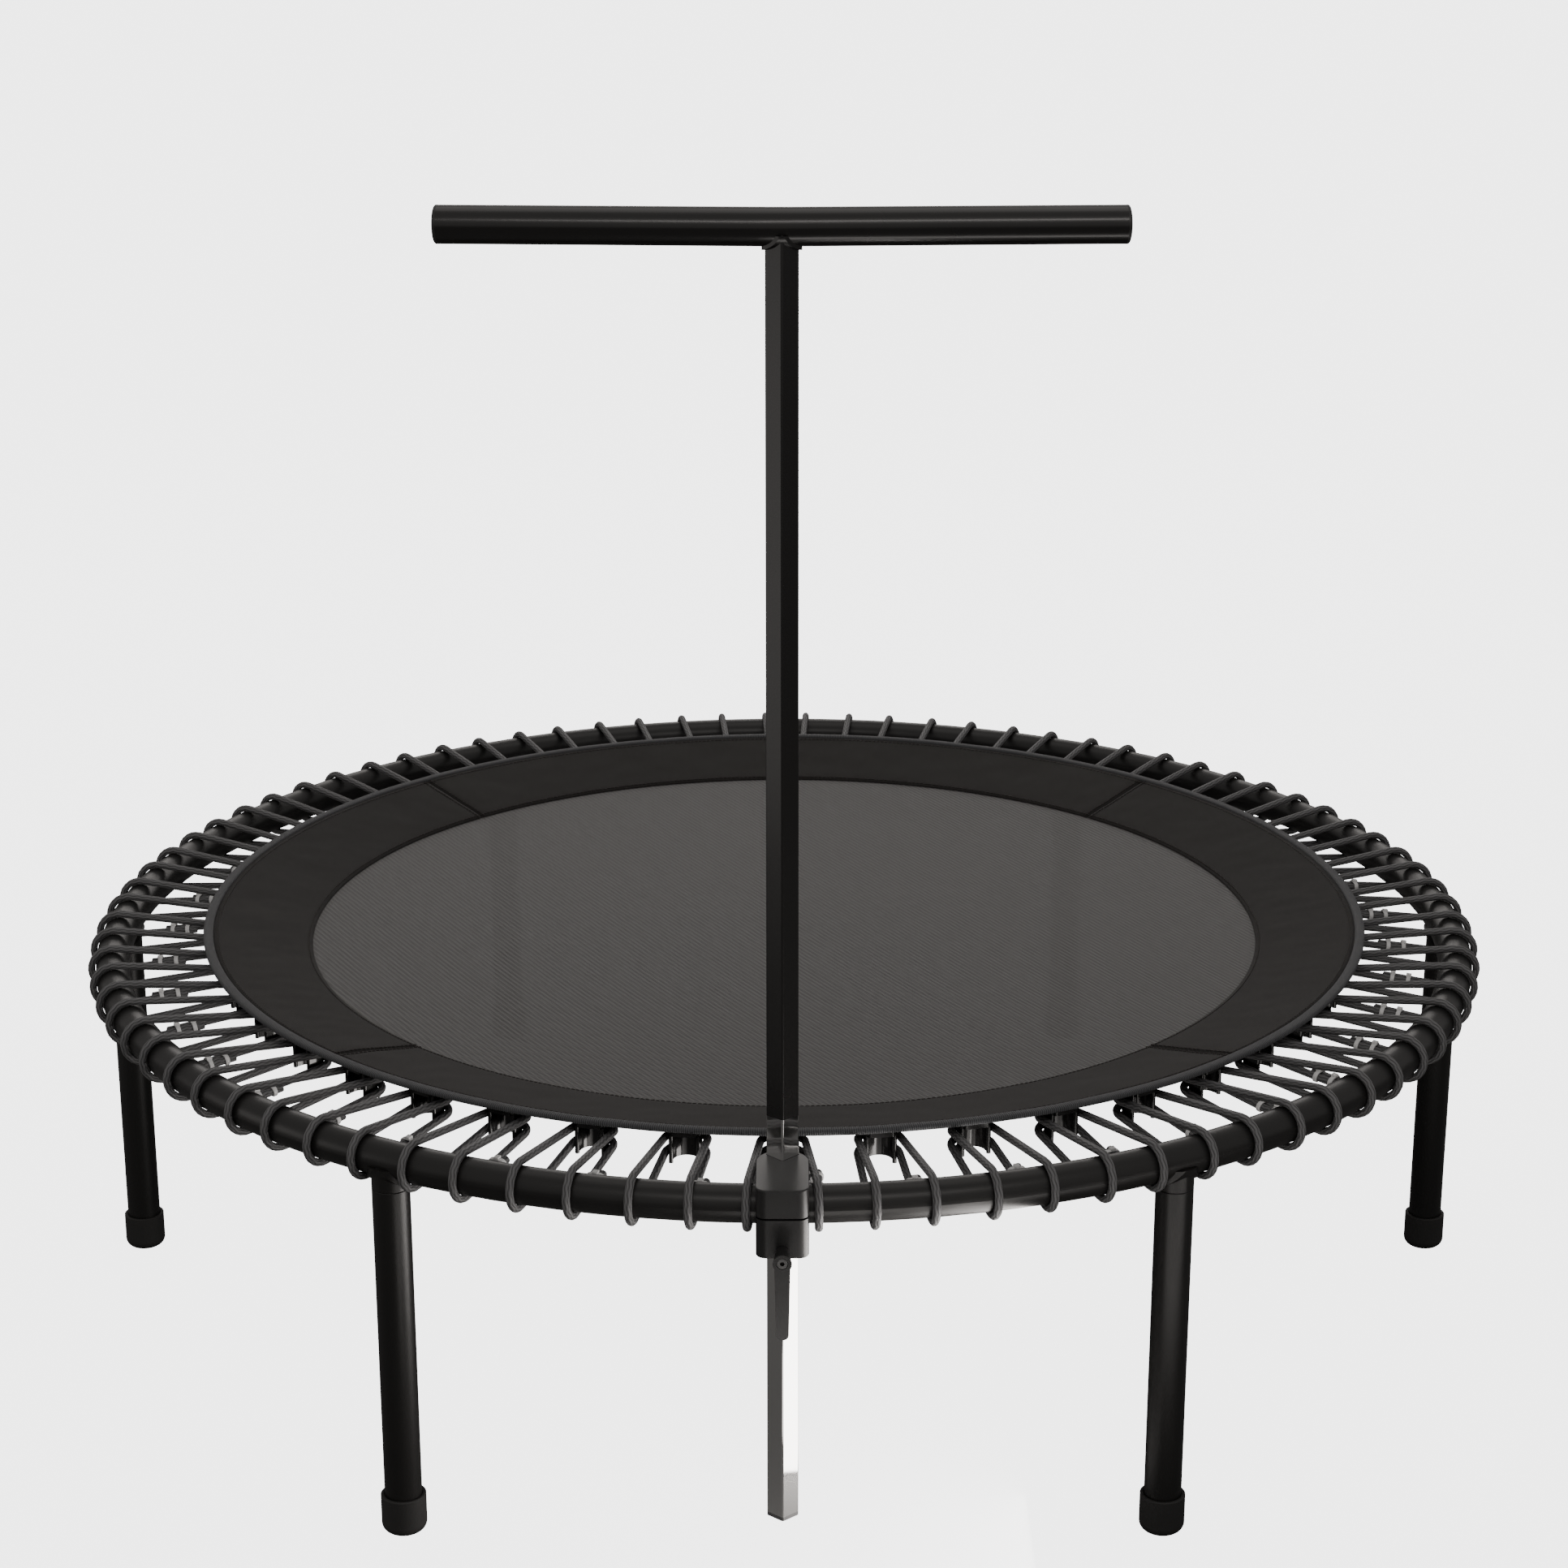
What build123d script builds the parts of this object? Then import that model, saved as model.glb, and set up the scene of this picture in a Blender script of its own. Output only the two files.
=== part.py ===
"""Mini trampoline: a ring on six screw-in legs, a mat on bungee rings, and a clamped handlebar mast.

Millimetres, +Z up. The origin is the middle of the jump surface. The mast stands at -Y.
"""

import os
from math import asin, atan2, cos, degrees, hypot, radians, sin, sqrt, tan

from build123d import *

# Driving dimensions
FLOOR_DROP = 327.5          # jump surface above the floor
RING_R = 610.0              # centre circle of the ring tube
TUBE_R = 15.0               # ring tube and legs, outside radius
TUBE_WALL = 2.0
TUBE_DROP = 2.5             # ring tube's centre below the jump surface
LEG_COUNT = 6

STUB_DROP = 23.0            # stub's lower end below the tube's centre
SEAM_GAP = 0.2
SEAM_CHAMFER = 0.4
WELD = 3.0                  # how far the weld collar stands out
STUD_PLUG = 6.0             # plug that carries the stud, inside the stub
STUD_R = 5.0
STUD_CHAMFER = 1.0
STUD_REACH = 20.0           # stud below the stub's end
INSERT_LENGTH = 16.0
RUNNING = 0.05              # radial clearance of a shaft in its hole
CAP_WALL = 3.3
CAP_HEIGHT = 33.0
CAP_BASE = 5.0
CAP_ROUND = 8.0
CAP_RIM = 0.8               # chamfer round the cap's upper rim

MESH_R = 432.0
MESH_THICK = 1.5
PANEL_EDGE_R = 520.0        # outer radius of the border panels
PANEL_THICK = 3.0
PANEL_RISE = 18.5           # how far the border climbs from the mesh to the edge
PANEL_COUNT = 4
PANEL_GAP = 0.4             # seam between two panels
BINDING_W = 9.0
BINDING_H = 5.0
BINDING_ROUND = 2.3
HEM_IN = 3.0                # how far the webbing under the mesh's edge reaches inwards
HEM_OUT = 15.0              # how far it reaches under the border
HEM_THICK = 1.5

RING_COUNT = 42             # bungee rings, and anchors
CORD_R = 3.25
CORD_GAP = 0.25             # between a cord and what it lies round
LEVEL_UPPER = 1.0          # cord's centre where it passes the anchor's back, upper level
LEVEL_PITCH = 9.5           # lower level below the upper one
SPLICE_GAP = 0.7            # between the two ends that lie side by side
SPLICE_START = 63.0         # ends of the overlap, measured in from the tube's centre circle
SPLICE_END = 33.0
MAST_SPLICE_GAP = 1.3       # the overlap beside the mast starts this far behind the clamp's nose
MAST_SPLICE_LENGTH = 27.0   # shorter, because the ring round the mast goes wider
TIE_SPACING = 14.0
TIE_WIDTH = 3.6
TIE_THICK = 1.1
TIE_GAP = 0.2
MAST_CORD_GAP = 4.2         # between the clamp block and the cords beside it

ANCHOR_R = 508.0            # circle of the anchors' centres
ANCHOR_BORE = 10.3          # inside radius of the half-pipe
ANCHOR_WALL = 2.5
ANCHOR_ARM = 6.0            # straight stretch of each side, towards the tube
ANCHOR_UNDER = 3.55         # anchor's lower end under the lower cord
ANCHOR_LIP = 2.6            # how far the lip under the lower cord stands out
ANCHOR_LIP_BACK = 5.0       # the lip's ends, behind the half-pipe's axis
ANCHOR_LIP_THICK = 2.0
PLATE_OVER = 4.35           # underside of the anchor's sewn-on top plate over the upper cord
PLATE_FRONT_HALF = 10.0
PLATE_BACK_HALF = 21.0
PLATE_IN = 12.0             # how far the plate reaches towards the mat's middle
PLATE_OUT = 10.5
PLATE_ROUND = 2.0
BEAD_R = 1.8                # rounded edge of each side
SEWN_GAP = 0.2

POST_SIDE = 18.0
POST_WALL = 1.5
POST_CORNER = 1.5
BORE_CORNER = 0.4
POST_LEAN = 0.08            # metres in per metre up
POST_BOTTOM_UP = 52.0       # bottom end above the floor, at rest
SEAM_UP = 380.0             # joint between the two posts above the floor, at rest
BAR_UP = 1043.0             # bar's centre above the floor, at rest
PLUG_FLANGE = 3.0
PLUG_DEPTH = 20.0
SPIGOT_DEPTH = 40.0         # length in each post
SPIGOT_GAP = 0.05
POST_PLAY = 0.3             # between the post and the clamp

CLAMP_SIDE_WALL = 7.9       # beside the post's corners
CLAMP_WEB = 8.4             # between the ring tube and the post
CLAMP_NOSE = 5.4            # behind the post's rear corner
CLAMP_FRONT = 14.0          # in front of the ring tube
CLAMP_OVER = 8.7            # above the ring tube
CLAMP_UNDER = 17.0          # below the ring tube
CLAMP_SLIT = 1.6
CLAMP_ROUND = 20.0
CLAMP_FRONT_ROUND = 8.0
CLAMP_NOSE_ROUND = 8.0
CLAMP_EDGE = 1.0
SCREW_R = 2.5
SCREW_HEAD_R = 4.25
SCREW_HEAD = 5.0
SCREW_TIP = 15.0            # screw's tip above the slit's middle
SCREW_END_GAP = 1.0         # hole beyond the tip
SCREW_INSET = 6.5           # from the side of the block to a screw's axis
SCREW_FRONT = 7.55          # from the front of the block to the front screws' axes
SCREW_HEX = 4.0

LEVER_UP = 6.0              # lever's axis above the block's underside
LEVER_SCREW_R = 3.0
PAD_R = 4.9
PAD_LENGTH = 12.0
PAD_GAP = 0.1               # between the pad's notch and the post
HUB_GAP = 0.5
HUB_LENGTH = 21.0
HUB_ROOT_R = 4.8
HUB_FACE_R = 7.2
HUB_RECESS_R = 4.4
HUB_RECESS = 2.0
HANDLE_LENGTH = 63.0        # from the hub's axis to the tip
HANDLE_TOP_W = 12.0
HANDLE_TIP_W = 9.5
HANDLE_THICK = 7.0
HANDLE_STEP = 0.8           # handle's face behind the hub's face
HANDLE_ROUND = 4.25
CAP_SCREW_R = 4.0
CAP_SCREW_HEX = 3.2
CAP_SCREW_HEX_DEPTH = 4.0   # from the hub's face
CAP_SCREW_STEP = 0.3        # screw's head behind the hub's face

BAR_R = 14.0
BAR_WALL = 2.0
BAR_HALF = 247.0            # half the bar's width, along X
BAR_SWEEP = 6.0             # degrees each half turns back
BAR_BEND_R = 150.0
BAR_CAP = 2.5
BAR_CAP_DEPTH = 15.0
BAR_WELD = 2.5

# Places worked out from them
FLOOR_Z = -FLOOR_DROP
TUBE_Z = -TUBE_DROP
TUBE_IN_R = TUBE_R - TUBE_WALL
TUBE_MIDDLE_R = TUBE_R - TUBE_WALL / 2
STUB_END = TUBE_Z - STUB_DROP
LEG_TOP = STUB_END - SEAM_GAP
LEG_BOTTOM = FLOOR_Z + CAP_BASE
MAT_EDGE_R = PANEL_EDGE_R + BINDING_W
POST_REACH = POST_SIDE / sqrt(2) - POST_CORNER * (sqrt(2) - 1)
MAST_IN = TUBE_R + POST_REACH + CLAMP_WEB
CLAMP_IN = MAST_IN + POST_REACH + CLAMP_NOSE + POST_LEAN * CLAMP_OVER
SPLICE_PITCH = 2 * CORD_R + SPLICE_GAP
ANCHOR_BOTTOM = LEVEL_UPPER - LEVEL_PITCH - CORD_R - ANCHOR_UNDER
PLATE_BOTTOM = LEVEL_UPPER + CORD_R + PLATE_OVER
MAST_Y = -RING_R + MAST_IN
LEAN = atan2(POST_LEAN, 1)
MAST = Plane(origin=(0, MAST_Y, TUBE_Z), x_dir=(1, 0, 0), z_dir=(0, sin(LEAN), cos(LEAN)))
os.makedirs("parts", exist_ok=True)


def mast_run(height_over_floor):
    """Distance along the mast from the clamp's middle to a height over the floor."""
    return (height_over_floor + FLOOR_Z - TUBE_Z) / cos(LEAN)


POST_BOTTOM = mast_run(POST_BOTTOM_UP)
POST_SEAM = mast_run(SEAM_UP)
BAR_RUN = mast_run(BAR_UP)


def panel_underside(radius):
    """Height of the border's underside at a radius."""
    return -MESH_THICK + PANEL_RISE * (radius - MESH_R) / (PANEL_EDGE_R - MESH_R)


# ---- Frame: ring, stubs and their welds ----
with BuildPart() as ring_tube:
    with BuildSketch(Plane.XZ):
        with Locations((RING_R, TUBE_Z)):
            Circle(TUBE_R)
            Circle(TUBE_IN_R, mode=Mode.SUBTRACT)
    revolve(axis=Axis.Z)
ring_tube.part.label = "ring_tube"
export_step(ring_tube.part, "parts/ring_tube.step")

with BuildPart(mode=Mode.PRIVATE) as ring_solid:
    with BuildSketch(Plane.XZ):
        with Locations((RING_R, TUBE_Z)):
            Circle(TUBE_R)
    revolve(axis=Axis.Z)

with BuildPart(mode=Mode.PRIVATE) as ring_envelope:
    with BuildSketch(Plane.XZ):
        with Locations((RING_R, TUBE_Z)):
            Circle(TUBE_R + WELD)
    revolve(axis=Axis.Z)

with BuildPart() as leg_stubs:
    with BuildSketch(Plane.XY.offset(STUB_END)):
        with PolarLocations(RING_R, LEG_COUNT):
            Circle(TUBE_R)
            Circle(TUBE_IN_R, mode=Mode.SUBTRACT)
    extrude(amount=STUB_DROP - TUBE_WALL)
    chamfer(leg_stubs.edges().group_by(Axis.Z)[0].filter_by(lambda e: e.radius > TUBE_MIDDLE_R),
            SEAM_CHAMFER)
    add(ring_solid.part, mode=Mode.SUBTRACT)
leg_stubs.part.label = "leg_stubs"
export_step(leg_stubs.part, "parts/leg_stubs.step")

with BuildPart() as stub_welds:
    with BuildSketch(Plane.XY.offset(TUBE_Z - TUBE_R - WELD)):
        with PolarLocations(RING_R, LEG_COUNT):
            Circle(TUBE_R + WELD)
            Circle(TUBE_R, mode=Mode.SUBTRACT)
    extrude(amount=TUBE_R)
    add(ring_envelope.part, mode=Mode.INTERSECT)
    add(ring_solid.part, mode=Mode.SUBTRACT)
stub_welds.part.label = "stub_welds"
export_step(stub_welds.part, "parts/stub_welds.step")

with BuildPart() as leg_studs:
    with BuildSketch(Plane.XY.offset(STUB_END)):
        with PolarLocations(RING_R, LEG_COUNT):
            Circle(TUBE_IN_R)
    extrude(amount=STUD_PLUG)
    with BuildSketch(Plane.XY.offset(STUB_END - STUD_REACH)):
        with PolarLocations(RING_R, LEG_COUNT):
            Circle(STUD_R)
    extrude(amount=STUD_REACH)
    chamfer(leg_studs.edges().group_by(Axis.Z)[0], STUD_CHAMFER)
    add(ring_solid.part, mode=Mode.SUBTRACT)
leg_studs.part.label = "leg_studs"
export_step(leg_studs.part, "parts/leg_studs.step")

# ---- Legs: tube, threaded insert and rubber cap, six of each ----
for number in range(1, LEG_COUNT + 1):
    leg_spot = Vector(RING_R, 0, 0).rotate(Axis.Z, 360 / LEG_COUNT * (number - 1))

    with BuildPart() as leg_tube:
        with BuildSketch(Plane.XY.offset(LEG_BOTTOM)):
            with Locations((leg_spot.X, leg_spot.Y)):
                Circle(TUBE_R)
                Circle(TUBE_IN_R, mode=Mode.SUBTRACT)
        extrude(amount=LEG_TOP - LEG_BOTTOM)
        chamfer(leg_tube.edges().group_by(Axis.Z)[-1].filter_by(lambda e: e.radius > TUBE_MIDDLE_R),
                SEAM_CHAMFER)
    leg_tube.part.label = f"leg_tube_{number}"
    export_step(leg_tube.part, f"parts/leg_tube_{number}.step")

    with BuildPart() as leg_insert:
        with BuildSketch(Plane.XY.offset(LEG_TOP - INSERT_LENGTH)):
            with Locations((leg_spot.X, leg_spot.Y)):
                Circle(TUBE_IN_R)
                Circle(STUD_R + RUNNING, mode=Mode.SUBTRACT)
        extrude(amount=INSERT_LENGTH - SEAM_CHAMFER)
    leg_insert.part.label = f"leg_insert_{number}"
    export_step(leg_insert.part, f"parts/leg_insert_{number}.step")

    with BuildPart() as foot_cap:
        with BuildSketch(Plane.XY.offset(FLOOR_Z)):
            with Locations((leg_spot.X, leg_spot.Y)):
                Circle(TUBE_R + CAP_WALL)
        extrude(amount=CAP_HEIGHT)
        fillet(foot_cap.edges().group_by(Axis.Z)[0], CAP_ROUND)
        with BuildSketch(Plane.XY.offset(LEG_BOTTOM)):
            with Locations((leg_spot.X, leg_spot.Y)):
                Circle(TUBE_R)
        extrude(amount=CAP_HEIGHT, mode=Mode.SUBTRACT)
        chamfer(foot_cap.edges().group_by(Axis.Z)[-1], CAP_RIM)
    foot_cap.part.label = f"foot_cap_{number}"
    export_step(foot_cap.part, f"parts/foot_cap_{number}.step")

# ---- Mat: mesh, border panels, webbing and edge binding ----
with BuildPart() as jump_mesh:
    with BuildSketch(Plane.XY):
        Circle(MESH_R)
    extrude(amount=-MESH_THICK)
jump_mesh.part.label = "jump_mesh"
export_step(jump_mesh.part, "parts/jump_mesh.step")

panel_turn = 360 / PANEL_COUNT
seam_turn = degrees(PANEL_GAP / MESH_R)
for number in range(1, PANEL_COUNT + 1):
    with BuildPart() as border_panel:
        start = panel_turn * (number - 1.5)
        with BuildSketch(Plane.XZ.rotated((0, 0, start))):
            with BuildLine():
                Polyline(
                    (MESH_R, panel_underside(MESH_R)),
                    (PANEL_EDGE_R, panel_underside(PANEL_EDGE_R)),
                    (PANEL_EDGE_R, panel_underside(PANEL_EDGE_R) + PANEL_THICK),
                    (MESH_R, panel_underside(MESH_R) + PANEL_THICK),
                    close=True,
                )
            make_face()
        revolve(axis=Axis.Z, revolution_arc=panel_turn - seam_turn)
    border_panel.part.label = f"border_panel_{number}"
    export_step(border_panel.part, f"parts/border_panel_{number}.step")

with BuildPart() as edge_binding:
    with BuildSketch(Plane.XZ):
        edge_middle = panel_underside(PANEL_EDGE_R) + PANEL_THICK / 2
        with Locations((PANEL_EDGE_R + BINDING_W / 2, edge_middle)):
            Rectangle(BINDING_W, BINDING_H)
        fillet(vertices().group_by(Axis.X)[-1], BINDING_ROUND)
    revolve(axis=Axis.Z)
edge_binding.part.label = "edge_binding"
export_step(edge_binding.part, "parts/edge_binding.step")

with BuildPart() as hem_band:
    with BuildSketch(Plane.XZ):
        with BuildLine():
            Polyline(
                (MESH_R - HEM_IN, panel_underside(MESH_R)), (MESH_R, panel_underside(MESH_R)),
                (MESH_R + HEM_OUT, panel_underside(MESH_R + HEM_OUT)),
                (MESH_R + HEM_OUT, panel_underside(MESH_R + HEM_OUT) - HEM_THICK),
                (MESH_R, panel_underside(MESH_R) - HEM_THICK),
                (MESH_R - HEM_IN, panel_underside(MESH_R) - HEM_THICK),
                close=True,
            )
        make_face()
    revolve(axis=Axis.Z)
hem_band.part.label = "hem_band"
export_step(hem_band.part, "parts/hem_band.step")

# ---- Anchors: a half-pipe open towards the tube, with a sewn-on top plate ----
anchor_out_r = ANCHOR_BORE + ANCHOR_WALL
cord_turn_r = anchor_out_r + CORD_GAP + CORD_R      # cord's centre line round the anchor's back
panel_slope = Plane(
    origin=(ANCHOR_R, 0, panel_underside(ANCHOR_R) - SEWN_GAP),
    z_dir=(-PANEL_RISE, 0, PANEL_EDGE_R - MESH_R),
)
with BuildPart() as anchor:
    with BuildSketch(Plane.XY.offset(ANCHOR_BOTTOM)):
        with BuildLine():
            Polyline((ANCHOR_R + ANCHOR_ARM, -anchor_out_r), (ANCHOR_R, -anchor_out_r))
            ThreePointArc(
                (ANCHOR_R, -anchor_out_r), (ANCHOR_R - anchor_out_r, 0), (ANCHOR_R, anchor_out_r)
            )
            Polyline(
                (ANCHOR_R, anchor_out_r), (ANCHOR_R + ANCHOR_ARM, anchor_out_r),
                (ANCHOR_R + ANCHOR_ARM, ANCHOR_BORE), (ANCHOR_R, ANCHOR_BORE),
            )
            ThreePointArc(
                (ANCHOR_R, ANCHOR_BORE), (ANCHOR_R - ANCHOR_BORE, 0), (ANCHOR_R, -ANCHOR_BORE)
            )
            Polyline(
                (ANCHOR_R, -ANCHOR_BORE), (ANCHOR_R + ANCHOR_ARM, -ANCHOR_BORE),
                (ANCHOR_R + ANCHOR_ARM, -anchor_out_r),
            )
        make_face()
        with Locations(
            (ANCHOR_R + ANCHOR_ARM, anchor_out_r - BEAD_R), (ANCHOR_R + ANCHOR_ARM, BEAD_R - anchor_out_r)
        ):
            Circle(BEAD_R)
    extrude(amount=PANEL_RISE - ANCHOR_BOTTOM)
    with BuildSketch(Plane.XY.offset(ANCHOR_BOTTOM)):
        with Locations((ANCHOR_R, 0)):
            Circle(anchor_out_r + ANCHOR_LIP)
            Circle(ANCHOR_BORE, mode=Mode.SUBTRACT)
        with Locations((ANCHOR_R + 2 * anchor_out_r - ANCHOR_LIP_BACK, 0)):
            Rectangle(4 * anchor_out_r, 4 * anchor_out_r, mode=Mode.SUBTRACT)
    extrude(amount=ANCHOR_LIP_THICK)
    with BuildSketch(Plane.XY.offset(PLATE_BOTTOM)):
        with BuildLine():
            Polyline(
                (ANCHOR_R + PLATE_OUT, PLATE_FRONT_HALF), (ANCHOR_R - PLATE_IN, PLATE_BACK_HALF),
                (ANCHOR_R - PLATE_IN, -PLATE_BACK_HALF), (ANCHOR_R + PLATE_OUT, -PLATE_FRONT_HALF),
                close=True,
            )
        make_face()
        fillet(vertices(), PLATE_ROUND)
    extrude(amount=PANEL_RISE)
    split(bisect_by=panel_slope, keep=Keep.BOTTOM)

with BuildPart() as anchors:
    with PolarLocations(0, RING_COUNT, start_angle=270):
        add(anchor.part)
anchors.part.label = "anchors"
export_step(anchors.part, "parts/anchors.step")

# ---- Bungee rings: one cord each, round an anchor at two levels and twice round the tube ----
wrap_r = TUBE_R + CORD_GAP + CORD_R
back_u = ANCHOR_R - cord_turn_r
even_spread = RING_R * radians(360 / RING_COUNT / 4)


def tube_u(spread):
    """Distance out to the tube's centre in the plane of a wrap, beside the ring's own radius."""
    return sqrt(RING_R**2 - spread**2)


def strand_slope(level, side, spread):
    """Slope of a strand from a level of the anchor to the tube's top (1) or underside (-1)."""
    run, drop = tube_u(spread) - back_u, TUBE_Z - level
    return tan(atan2(drop, run) + side * asin(wrap_r / hypot(run, drop)))


def strand_z(level, side, spread, out):
    """Height of a strand at a distance out from the middle of the mat."""
    return level + strand_slope(level, side, spread) * (out - back_u)


def splice_spread(spread, out, end):
    """Sideways place of the strand that ends in the overlap, at a distance out."""
    reach = (out - back_u) / (end - back_u)
    return cord_turn_r + (spread - SPLICE_PITCH - cord_turn_r) * reach


def bungee_solid(spread, start, end):
    """One cord from its first end, round tube and anchor, to its second end beside the first."""
    upper, lower = LEVEL_UPPER, LEVEL_UPPER - LEVEL_PITCH
    outside = tube_u(spread) + wrap_r
    top, under = strand_z(upper, 1, spread, outside), strand_z(lower, -1, spread, outside)
    points = [
        (start, spread, strand_z(lower, -1, spread, start)),
        (outside, spread, under),
        (outside, spread, top),
        (back_u, cord_turn_r, upper),
        (back_u, -cord_turn_r, upper),
        (outside, -spread, top),
        (outside, -spread, under),
        (back_u, -cord_turn_r, lower),
        (back_u, cord_turn_r, lower),
        (end, spread - SPLICE_PITCH, strand_z(lower, -1, spread, end)),
    ]
    turn = cord_turn_r - CORD_GAP
    radii = [wrap_r, wrap_r, turn, turn, wrap_r, wrap_r, turn, turn]
    with BuildPart(mode=Mode.PRIVATE) as cord:
        with BuildLine() as route:
            FilletPolyline(*points, radius=radii)
        path = route.wires()[0]
        with BuildSketch(Plane(origin=path @ 0, z_dir=path % 0)):
            Circle(CORD_R)
        sweep(path=path)
    print("cord length", round(path.length, 1))
    return cord.part


def tie_solid(spread, out, end):
    """A band round the two cords that lie side by side in the overlap."""
    near, far = splice_spread(spread, out, end), spread
    lower = LEVEL_UPPER - LEVEL_PITCH
    middle = Vector(out, (near + far) / 2, strand_z(lower, -1, spread, out))
    bore = 2 * (CORD_R + TIE_GAP)
    with BuildPart(mode=Mode.PRIVATE) as tie:
        across = Plane(origin=middle, x_dir=(0, 1, 0), z_dir=(1, 0, strand_slope(lower, -1, spread)))
        with BuildSketch(across):
            SlotCenterToCenter(far - near, bore + 2 * TIE_THICK)
            SlotCenterToCenter(far - near, bore, mode=Mode.SUBTRACT)
        extrude(amount=TIE_WIDTH / 2, both=True)
    return tie.part


def tie_places(start, end):
    """Distances out of the two ties of one ring."""
    middle = (start + end) / 2
    return [middle - TIE_SPACING / 2, middle + TIE_SPACING / 2]


even_splice = (RING_R - SPLICE_START, RING_R - SPLICE_END)
mast_splice_end = RING_R - CLAMP_IN - MAST_SPLICE_GAP
mast_splice = (mast_splice_end - MAST_SPLICE_LENGTH, mast_splice_end)
mast_spread = max(even_spread, POST_REACH + CLAMP_SIDE_WALL + MAST_CORD_GAP + CORD_R)
ring_turn = 360 / RING_COUNT

even_cord = bungee_solid(even_spread, *even_splice)
mast_cord = bungee_solid(mast_spread, *mast_splice)
with BuildPart() as bungee_rings:
    with PolarLocations(0, RING_COUNT - 1, start_angle=270 + ring_turn, angular_range=360 - 2 * ring_turn,
                        endpoint=True):
        add(even_cord)
    with Locations(Location((0, 0, 0), (0, 0, 270))):
        add(mast_cord)
bungee_rings.part.label = "bungee_rings"
export_step(bungee_rings.part, "parts/bungee_rings.step")

even_ties = [tie_solid(even_spread, out, even_splice[1]) for out in tie_places(*even_splice)]
mast_ties = [tie_solid(mast_spread, out, mast_splice[1]) for out in tie_places(*mast_splice)]
with BuildPart() as cord_ties:
    with PolarLocations(0, RING_COUNT - 1, start_angle=270 + ring_turn, angular_range=360 - 2 * ring_turn,
                        endpoint=True):
        add(even_ties)
    with Locations(Location((0, 0, 0), (0, 0, 270))):
        add(mast_ties)
cord_ties.part.label = "cord_ties"
export_step(cord_ties.part, "parts/cord_ties.step")

# ---- Clamp block: two halves round the ring tube, with the post behind the tube ----
clamp_half_w = POST_REACH + CLAMP_SIDE_WALL
clamp_front_y = -RING_R - TUBE_R - CLAMP_FRONT
clamp_top = TUBE_Z + TUBE_R + CLAMP_OVER
clamp_bottom = TUBE_Z - TUBE_R - CLAMP_UNDER
nose_y = CLAMP_IN - RING_R
shoulder_y = nose_y - clamp_half_w
screw_x = clamp_half_w - SCREW_INSET
screw_front_y = clamp_front_y + SCREW_FRONT
screw_rear_y = MAST_Y - POST_REACH - SCREW_R
lever_z = clamp_bottom + LEVER_UP
lever_mast_y = MAST_Y + POST_LEAN * (lever_z - TUBE_Z)
post_front_y = lever_mast_y - POST_REACH / cos(LEAN)
screw_spots = [
    (screw_x, screw_front_y), (-screw_x, screw_front_y), (screw_x, screw_rear_y), (-screw_x, screw_rear_y)
]

with BuildPart(mode=Mode.PRIVATE) as post_way:
    with BuildSketch(MAST.offset(-2 * CLAMP_UNDER - TUBE_R)):
        RectangleRounded(POST_SIDE + 2 * POST_PLAY, POST_SIDE + 2 * POST_PLAY, POST_CORNER, rotation=45)
    extrude(amount=4 * CLAMP_UNDER + 2 * TUBE_R)

with BuildPart(mode=Mode.PRIVATE) as clamp_block:
    with BuildSketch(Plane.XY.offset(clamp_bottom)):
        with BuildLine():
            Polyline(
                (-clamp_half_w, clamp_front_y), (clamp_half_w, clamp_front_y), (clamp_half_w, shoulder_y),
                (0, nose_y), (-clamp_half_w, shoulder_y),
                close=True,
            )
        make_face()
        fillet(vertices().group_by(Axis.Y)[0], CLAMP_FRONT_ROUND)
        fillet(vertices().sort_by(Axis.Y)[-1], CLAMP_NOSE_ROUND)
        fillet(vertices().filter_by_position(Axis.Y, shoulder_y - 1, shoulder_y + 1), CLAMP_ROUND)
    extrude(amount=clamp_top - clamp_bottom)
    fillet(clamp_block.edges().group_by(Axis.Z)[-1] + clamp_block.edges().group_by(Axis.Z)[0], CLAMP_EDGE)
    add(ring_solid.part, mode=Mode.SUBTRACT)
    add(post_way.part, mode=Mode.SUBTRACT)

with BuildPart() as clamp_upper:
    add(clamp_block.part)
    split(bisect_by=Plane.XY.offset(TUBE_Z + CLAMP_SLIT / 2), keep=Keep.TOP)
    with BuildSketch(Plane.XY.offset(TUBE_Z)):
        with Locations(screw_spots):
            Circle(SCREW_R)
    extrude(amount=SCREW_TIP + SCREW_END_GAP, mode=Mode.SUBTRACT)
clamp_upper.part.label = "clamp_upper"
export_step(clamp_upper.part, "parts/clamp_upper.step")

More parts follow.
